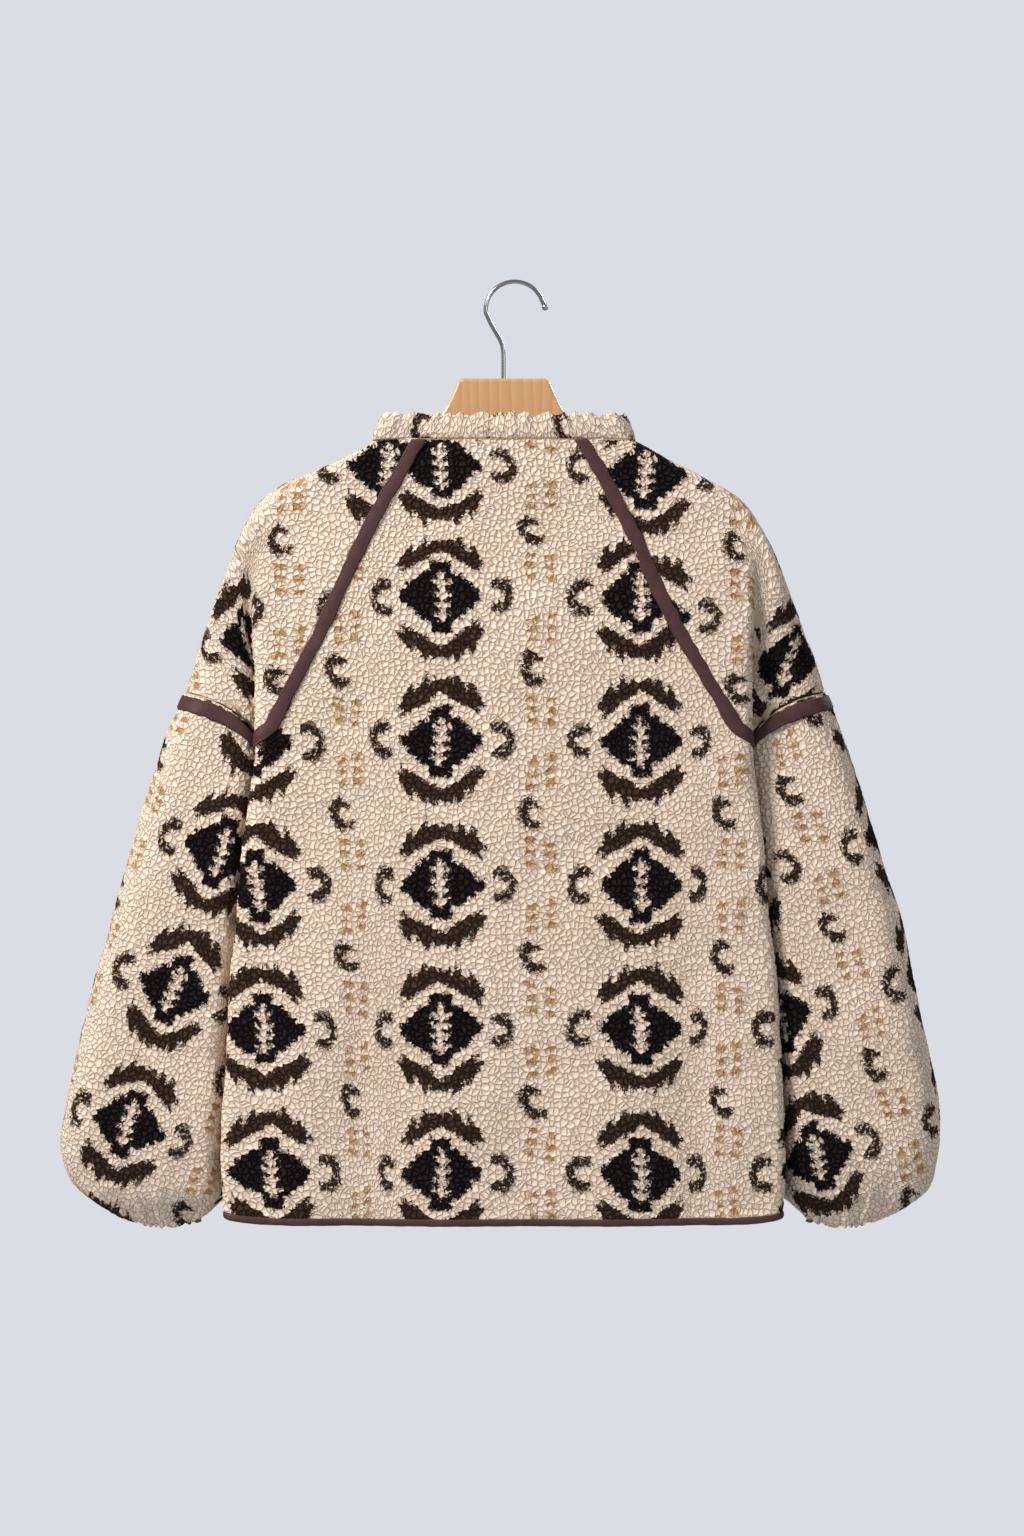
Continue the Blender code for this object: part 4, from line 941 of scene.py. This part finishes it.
def wood_finish():
    """Pale varnished wood, with upright grain and fine darker pores."""
    coat = {"coat_weight": 0.25, "coat_roughness": 0.2}
    material, recipe, shader = new_finish("varnished_wood", roughness=0.34, **coat)
    at = recipe.here(120.0, 120.0, 34.0)
    swirl = recipe.noise(at, 0.28, 3.0, 0.55)
    grain = recipe.waves(at, 0.3, "X", {"Distortion": 12.0, "Detail Scale": 0.4}, "SAW")
    pores = recipe.noise(recipe.here(1400.0, 900.0, 120.0), 1.0, 3.0, 0.7)
    colour = recipe.blend(grain * 0.7 + swirl * 0.3, srgb(206, 163, 118), srgb(188, 140, 94))
    colour = recipe.blend(pores.rise(0.55, 0.8) * 0.35, colour, srgb(140, 98, 62))
    feed(recipe, shader, base_color=colour, roughness=0.3 + 0.12 * pores, normal=bump(recipe, pores, 0.06))
    return material


def metal_finish(name, tone, rough, brush):
    """Nickel, with fine brush marks and slight smears."""
    material, recipe, shader = new_finish(name, roughness=rough, metallic=1.0)
    marks = recipe.noise(recipe.here(*brush), 1.0, 3.0, 0.6)
    colour = recipe.blend(marks, tone, toned(tone, 0.82))
    roughness = rough * 0.7 + marks * rough * 0.6
    feed(recipe, shader, base_color=colour, roughness=roughness, normal=bump(recipe, marks, 0.03))
    return material


def teeth_finish():
    """Moulded zip teeth, dark brown and slightly shiny."""
    material, recipe, shader = new_finish("zip_teeth", roughness=0.38)
    worn = recipe.noise(recipe.here(), 0.8, 3.0)
    colour = recipe.blend(worn.rise(0.35, 0.7), srgb(58, 38, 32), srgb(88, 62, 52))
    feed(recipe, shader, base_color=colour, roughness=0.3 + 0.2 * worn, normal=bump(recipe, worn, 0.05))
    return material


FLEECE, KNIT = fleece_finish(), knit_finish()
TAPE = tape_finish("brown_tape", srgb(76, 46, 43), srgb(60, 35, 33))
ZIP_TAPE = tape_finish("zip_tape", srgb(70, 43, 39), srgb(54, 33, 30))
THREAD, WOOD, TEETH = thread_finish(), wood_finish(), teeth_finish()
NICKEL = metal_finish("bright_nickel", srgb(196, 194, 192), 0.2, (900.0, 900.0, 120.0))
ZIP_METAL = metal_finish("satin_nickel", srgb(170, 166, 160), 0.34, (2500.0, 300.0, 300.0))


# Tapes


def band(name, left, middle, right, out, node, rise=1.15, seed=1):
    """A rounded tape between two uneven edges, over a middle line, with a row of stitches along each edge."""
    rng = np.random.default_rng(seed)
    edges = []
    for edge in (left, right):
        bends = rng.normal(size=max(len(middle) // 3, 4))
        places = np.linspace(0, len(bends) - 1, len(middle))
        uneven = np.interp(places, np.arange(len(bends)), bends) * TAPE_WAVE
        way = (edge - middle) / np.maximum(np.linalg.norm(edge - middle, axis=1, keepdims=True), 1e-6)
        edges.append(edge + way * uneven[:, None])

    def across_at(share, height):
        return middle + abs(share) * (edges[int(share > 0)] - middle) + out * rise * height

    profile = [(-1, -0.35), (-1, 0.1), (-0.94, 0.55), (-0.75, 0.82), (-0.4, 0.96), (0, 1.0)]
    profile += [(-share, height) for share, height in profile[-2::-1]]
    tube(name, np.stack([across_at(*spot) for spot in profile], axis=1), TAPE, node, "binding")
    for part, share in (("first", -0.8), ("second", 0.8)):
        stitches(f"{name}_{part}_stitches", across_at(share, 0.78), out)


def tube(name, grid, finish, node, slot, ring=False):
    """A closed skin from a grid of sections, each a closed loop of points."""
    numbers = np.arange(grid.shape[0] * grid.shape[1]).reshape(grid.shape[:2])
    faces = []
    for one, two in zip(numbers, np.roll(numbers, -1, axis=0) if ring else numbers[1:]):
        faces += zip(one, two, np.roll(two, -1), np.roll(one, -1))
    if not ring:
        faces += [tuple(numbers[0]), tuple(numbers[-1][::-1])]
    piece = mesh_piece(name, grid.reshape(-1, 3), faces, [finish])
    turn_out(piece)
    ride(piece, node, slot=slot)


def turn_out(piece):
    """Turns a closed mesh's faces outward."""
    mesh = piece.data
    mesh.calc_loop_triangles()
    points = np.array([vertex.co[:] for vertex in mesh.vertices])
    corners = points[np.array([triangle.vertices[:] for triangle in mesh.loop_triangles])]
    if np.einsum("ij,ij->i", corners[:, 0], np.cross(corners[:, 1], corners[:, 2])).sum() < 0:
        mesh.flip_normals()


def column_at(sheet, side_first, reach):
    """A line of points a given length in from a sheet's first or last column, and the way out there."""
    points, out = [], []
    for row, ways in zip(sheet.points, sheet.out):
        if not side_first:
            row, ways = row[::-1], ways[::-1]
        lengths = along(row[:24])
        points.append(read_off(reach, lengths, row[:24]))
        out.append(ways[min(int(np.searchsorted(lengths, reach)), 23)])
    return np.array(points), np.array(out)


def raglan_tape(face, hand, panel, sleeve):
    """A tape along a raglan seam, half on the panel and half on the sleeve."""
    side = -1 if hand == "left" else 1
    halves = ((panel, side < 0, PANEL_ROW_CELLS), (sleeve, face == "back", UPPER_ROW_CELLS))
    lines = []
    for sheet, first, cells in halves:
        rows = np.arange(cells * FINE + 1)
        places = np.linspace(0, TAPE_LAST * rows[-1], TAPE_STEPS)
        for reach in (0.0, TAPE_HALF):
            for line in column_at(sheet, first, reach):
                lines.append(read_off(places, rows, line[: len(rows)]))
    panel_seam, _, panel_side, panel_out, sleeve_seam, _, sleeve_side, sleeve_out = lines
    out = panel_out + sleeve_out
    out /= np.linalg.norm(out, axis=1, keepdims=True)
    name = f"raglan_tape_{face}_{hand}"
    middle = (panel_seam + sleeve_seam) / 2 + 0.9 * out
    edges = [line + 0.55 * out for line in (sleeve_side, panel_side)]
    band(name + "_woven", edges[0], middle, edges[1], out, name, seed=3 + side + 5 * (face == "back"))


def arm_band(hand, sheet):
    """The tape round an arm, over the seam between the upper and the lower sleeve."""
    rows = sheet.points[: 3 * FINE]
    pick = np.searchsorted(along(rows[:, rows.shape[1] // 2]), BAND_FALLS)
    top, middle, low = (sheet.points[k][2:-2] + 0.7 * sheet.out[k][2:-2] for k in pick)
    name = "arm_band_" + hand
    band(name + "_woven", top, middle, low, sheet.out[pick[1]][2:-2], name, rise=1.5, seed=11)


def hem_binding(back, front):
    """The binding of the lower edge: a folded tape all round it, slightly puffed."""
    ring = np.concatenate([back.points[-1], front.points[-1][::-1]])
    out = np.concatenate([back.out[-1], front.out[-1][::-1]]) * (1, 1, 0)
    out /= np.linalg.norm(out, axis=1, keepdims=True)
    keep = np.concatenate([[True], np.diff(along(ring)) > 1.2])
    ring, out = ring[keep][::2], out[keep][::2]
    grid = []
    for spot, way, length in zip(ring, out, along(ring)):
        puff = 0.35 * math.sin(length * 0.21) + 0.25 * math.sin(length * 0.47 + 1.3)
        loop = []
        for angle in np.linspace(0, 2 * math.pi, 15)[:-1]:
            across, up = math.cos(angle), math.sin(angle)
            across = math.copysign(abs(across) ** 0.6, across) * (WALL / 2 + 0.9 + 0.2 * puff)
            up = math.copysign(abs(up) ** 0.75, up) * (3.4 + 0.3 * puff)
            loop.append(spot + way * (across - WALL / 2) + (0, 0, up - 2.2))
        grid.append(loop)
    tube("hem_binding_folded", np.array(grid), TAPE, "hem_binding", "binding", ring=True)


def stitches(name, line, out):
    """A row of sewn stitches along a line: short threads that dip at both ends."""
    length = along(line)
    shares, lifts = np.array([(0.0, -0.3), (0.12, 0.12), (0.5, 0.3), (0.88, 0.12), (1.0, -0.3)]).T
    turns = np.linspace(0, 2 * math.pi, 6)[:-1, None]
    vertices, faces = [], []
    for k in range(int(length[-1] / STITCH_STEP) - 1):
        places = STITCH_STEP * k + (STITCH_STEP - STITCH_GAP) * shares
        way = read_off(places, length, out)
        spots = at_lengths(line, places) + way * lifts[:, None]
        run = spots[-1] - spots[0]
        across = np.cross(run / np.linalg.norm(run), way[2])
        numbers = len(vertices) + np.arange(len(spots) * len(turns)).reshape(len(spots), -1)
        for one, two in zip(numbers, numbers[1:]):
            faces += zip(one, np.roll(one, -1), np.roll(two, -1), two)
        faces += [tuple(numbers[0]), tuple(numbers[-1][::-1])]
        ring = STITCH_RADIUS * (np.cos(turns) * across + np.sin(turns) * way[2])
        vertices += [*(spots[:, None] + ring).reshape(-1, 3)]
    ride(mesh_piece(name, vertices, faces, [THREAD]), slot="binding")


# Zip, hook and hanger


def front_middle(down):
    """How far forward the cloth's face is at the middle of the front."""
    return float(place(0.0, HALF_DEPTH, np.array(float(down)))[..., 1])


def zip_teeth():
    """Two rows of moulded teeth that mesh."""
    low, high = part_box("zip_chain")
    top, foot, pitch = high[2] / MM, low[2] / MM, 2.5
    layers = ((0.0, 0.82), (-0.5, 1.0), (-2.6, 1.0), (-3.1, 0.85))
    tooth = [(-2.5, -0.95), (-0.6, -0.95), (0.3, -0.6), (0.95, -0.75)]
    tooth += [(across, -up) for across, up in reversed(tooth)]
    vertices, faces = [], []
    for k in range(int((top - foot - 2.0) / pitch * 2)):
        side = 1 if k % 2 else -1
        z = top - 1.2 - k * pitch / 2
        y = front_middle(max(-z, 176)) - 2.0
        numbers = len(vertices) + np.arange(len(layers) * len(tooth)).reshape(len(layers), -1)
        skin = []
        for one, two in zip(numbers, numbers[1:]):
            skin += zip(one, np.roll(one, -1), np.roll(two, -1), two)
        skin += [tuple(numbers[0][::-1]), tuple(numbers[-1])]
        faces += skin if side > 0 else [face[::-1] for face in skin]
        for depth, scale in layers:
            for across, up in tooth:
                vertices.append((CENTRE - side * across * (0.5 + scale / 2), y + depth, z + up * scale))
    piece = mesh_piece("zip_chain_teeth", vertices, faces, [TEETH], smooth_faces=False)
    ride(piece, "zip_chain", slot="zip_teeth")


def hoop(spot, across, radius):
    """A round section of the wire."""
    corners = np.linspace(0, 2 * math.pi, 21)[:-1]
    (x, z), (way_x, way_z) = spot, across * radius
    return [(x + math.cos(t) * way_x, radius * math.sin(t), z + math.cos(t) * way_z) for t in corners]


def wire_hook():
    """The hook's wire, drawn round, with a ball at its end."""
    down = HOOK_RADIUS - WIRE_RADIUS
    line = [(CENTRE, -91.0), (CENTRE, -70.0), (CENTRE, -62.0), (-9.6, -58.0), (-9.8, -53.0), (-12.0, -47.8)]
    line += [(-17.2, -41.0), (-22.0, -33.8)]
    first, last = math.radians(184), math.radians(24)
    for angle in np.linspace(first, last, 41):
        line.append((HOOK_RADIUS * math.cos(angle), HOOK_RADIUS * math.sin(angle) - down))
    end = np.array(line[-1])
    for reach in (2.5, 5.5, 8.0):
        line.append(end + reach * np.array([math.sin(last), -math.cos(last)]))
    line = np.array(line)
    smoothed = line.copy()
    for _ in range(2):
        smoothed[1:-1] = (smoothed[:-2] + 2 * smoothed[1:-1] + smoothed[2:]) / 4
    smoothed[8:-4] = line[8:-4]
    path = at_lengths(smoothed, np.linspace(0, along(smoothed)[-1], 150))
    run = np.gradient(path, axis=0)
    run /= np.linalg.norm(run, axis=1, keepdims=True)
    across = np.stack([-run[:, 1], run[:, 0]], axis=1)
    grid = [hoop(spot, way, WIRE_RADIUS) for spot, way in zip(path, across)]
    for turn in np.linspace(-0.75, 1.5, 12):
        spot = path[-1] + run[-1] * BALL_RADIUS * math.sin(turn)
        grid.append(hoop(spot, across[-1], BALL_RADIUS * math.cos(turn)))
    tube("hanger_hook_wire", np.array(grid), NICKEL, "hanger_hook", "steel")


def softened(name, finish, width, slot, body="garment"):
    """A CAD node again, with its finish and rounded edges."""
    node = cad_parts[name]
    piece = in_scene(bpy.data.objects.new(name + "_softened", node.data.copy()))
    piece.matrix_world = node.matrix_world.copy()
    piece.data.materials.clear()
    piece.data.materials.append(finish)
    bevel = piece.modifiers.new("rounded_edges", "BEVEL")
    bevel.width, bevel.segments, bevel.angle_limit = width * MM, 3, math.radians(35)
    bevel.limit_method = "ANGLE"
    ride(piece, name, slot=slot, body=body)


def finish_node(name, finish):
    """Gives a CAD node its finish."""
    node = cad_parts[name]
    node.data.materials.clear()
    node.data.materials.append(finish)


# The garment


def make_garment():
    """Every piece of the garment, its zip and its hanger."""
    back, front = body_sheet(False), body_sheet(True)
    rows = raglan_rows(PANEL_ROW_CELLS)[::FINE]
    slit_rows = int(round(np.interp(ZIP_BOTTOM_ROW, rows, np.arange(len(rows)))))
    slit = (slice(0, slit_rows), slice(FRONT_CELLS, FRONT_CELLS + 1))
    cloth_piece("back_panel", back, edge_fade(back))
    cloth_piece("front_panel", front, edge_fade(front), [slit])
    sleeves = {}
    for side, hand in ((-1, "left"), (1, "right")):
        upper, lower = upper_sleeve_sheet(side), lower_sleeve_sheet(side)
        sleeves[side] = upper
        cloth_piece("upper_sleeve_" + hand, upper, edge_fade(upper, bottom=4, sides=5))
        cloth_piece("lower_sleeve_" + hand, lower, edge_fade(lower, top=5, sides=3))
        raglan_tape("back", hand, back, upper)
        raglan_tape("front", hand, front, upper)
        arm_band(hand, lower)
    collar = collar_sheet(front, back, sleeves)
    cloth_piece("collar", collar, edge_fade(collar, sides=2, least=0.6))
    hem_binding(back, front)
    zip_teeth()
    wire_hook()
    softened("zip_stop", TEETH, 0.3, "zip_teeth")
    softened("zip_slider", ZIP_METAL, 0.45, "zip_metal")
    softened("zip_pull", ZIP_METAL, 0.3, "zip_metal", "zip_pull_tab")
    for name, finish in (("hanger_body", WOOD), ("zip_tape_left", ZIP_TAPE), ("zip_tape_right", ZIP_TAPE)):
        finish_node(name, finish)


def lamp(name, place_, power, size, colour, aim):
    """A soft square lamp aimed at a place."""
    data = bpy.data.lights.new(name, "AREA")
    data.energy, data.size, data.color = power, size, colour
    made = in_scene(bpy.data.objects.new(name, data))
    made.location = place_
    x, y, z = np.array(aim) - np.array(place_)
    made.rotation_euler = (math.atan2(math.hypot(x, y), -z), 0, math.atan2(y, x) - math.pi / 2)


def make_studio():
    """The camera, soft light, a pale room and a pale floor."""
    scene = bpy.context.scene
    scene.view_settings.view_transform = "Standard"
    camera = bpy.data.cameras.new("camera")
    camera.lens, camera.sensor_width = 85, 36
    eye = in_scene(bpy.data.objects.new("camera", camera))
    eye.location, eye.rotation_euler = (-0.0023, -3.12, -0.4167), (math.pi / 2, 0, 0)
    scene.camera = eye
    world = bpy.data.worlds.new("pale_room")
    world.use_nodes = True
    sky = world.node_tree.nodes["Background"]
    sky.inputs["Color"].default_value = srgb(218, 221, 227)
    seen = Recipe(world.node_tree).add("ShaderNodeLightPath", {}, {}, "Is Camera Ray")
    world.node_tree.links.new((seen * 0.64 + 0.36).socket, sky.inputs["Strength"])
    scene.world = world
    middle, cool = (0, 0, -0.45), (0.97, 0.98, 1.0)
    lamp("window", (-2.1, -1.7, 1.7), 162, 0.9, (1.0, 0.97, 0.93), middle)
    lamp("far_side", (1.8, 2.2, 1.2), 40, 1.2, cool, middle)
    lamp("low_fill", (2.0, -2.6, 0.0), 18, 1.6, cool, middle)
    rim = [(1.5 * math.cos(t), 1.5 * math.sin(t), -1.4) for t in np.linspace(0, 2 * math.pi, 65)[:-1]]
    floor, recipe, shader = new_finish("pale_floor", roughness=0.8)
    mottle = recipe.noise(recipe.here(1.0), 3.0, 4.0)
    feed(recipe, shader, base_color=recipe.blend(mottle, srgb(184, 188, 194), srgb(192, 195, 200)))
    disc = mesh_piece("floor", np.array(rim) / MM, [tuple(range(len(rim)))], [floor])


make_studio()
make_garment()
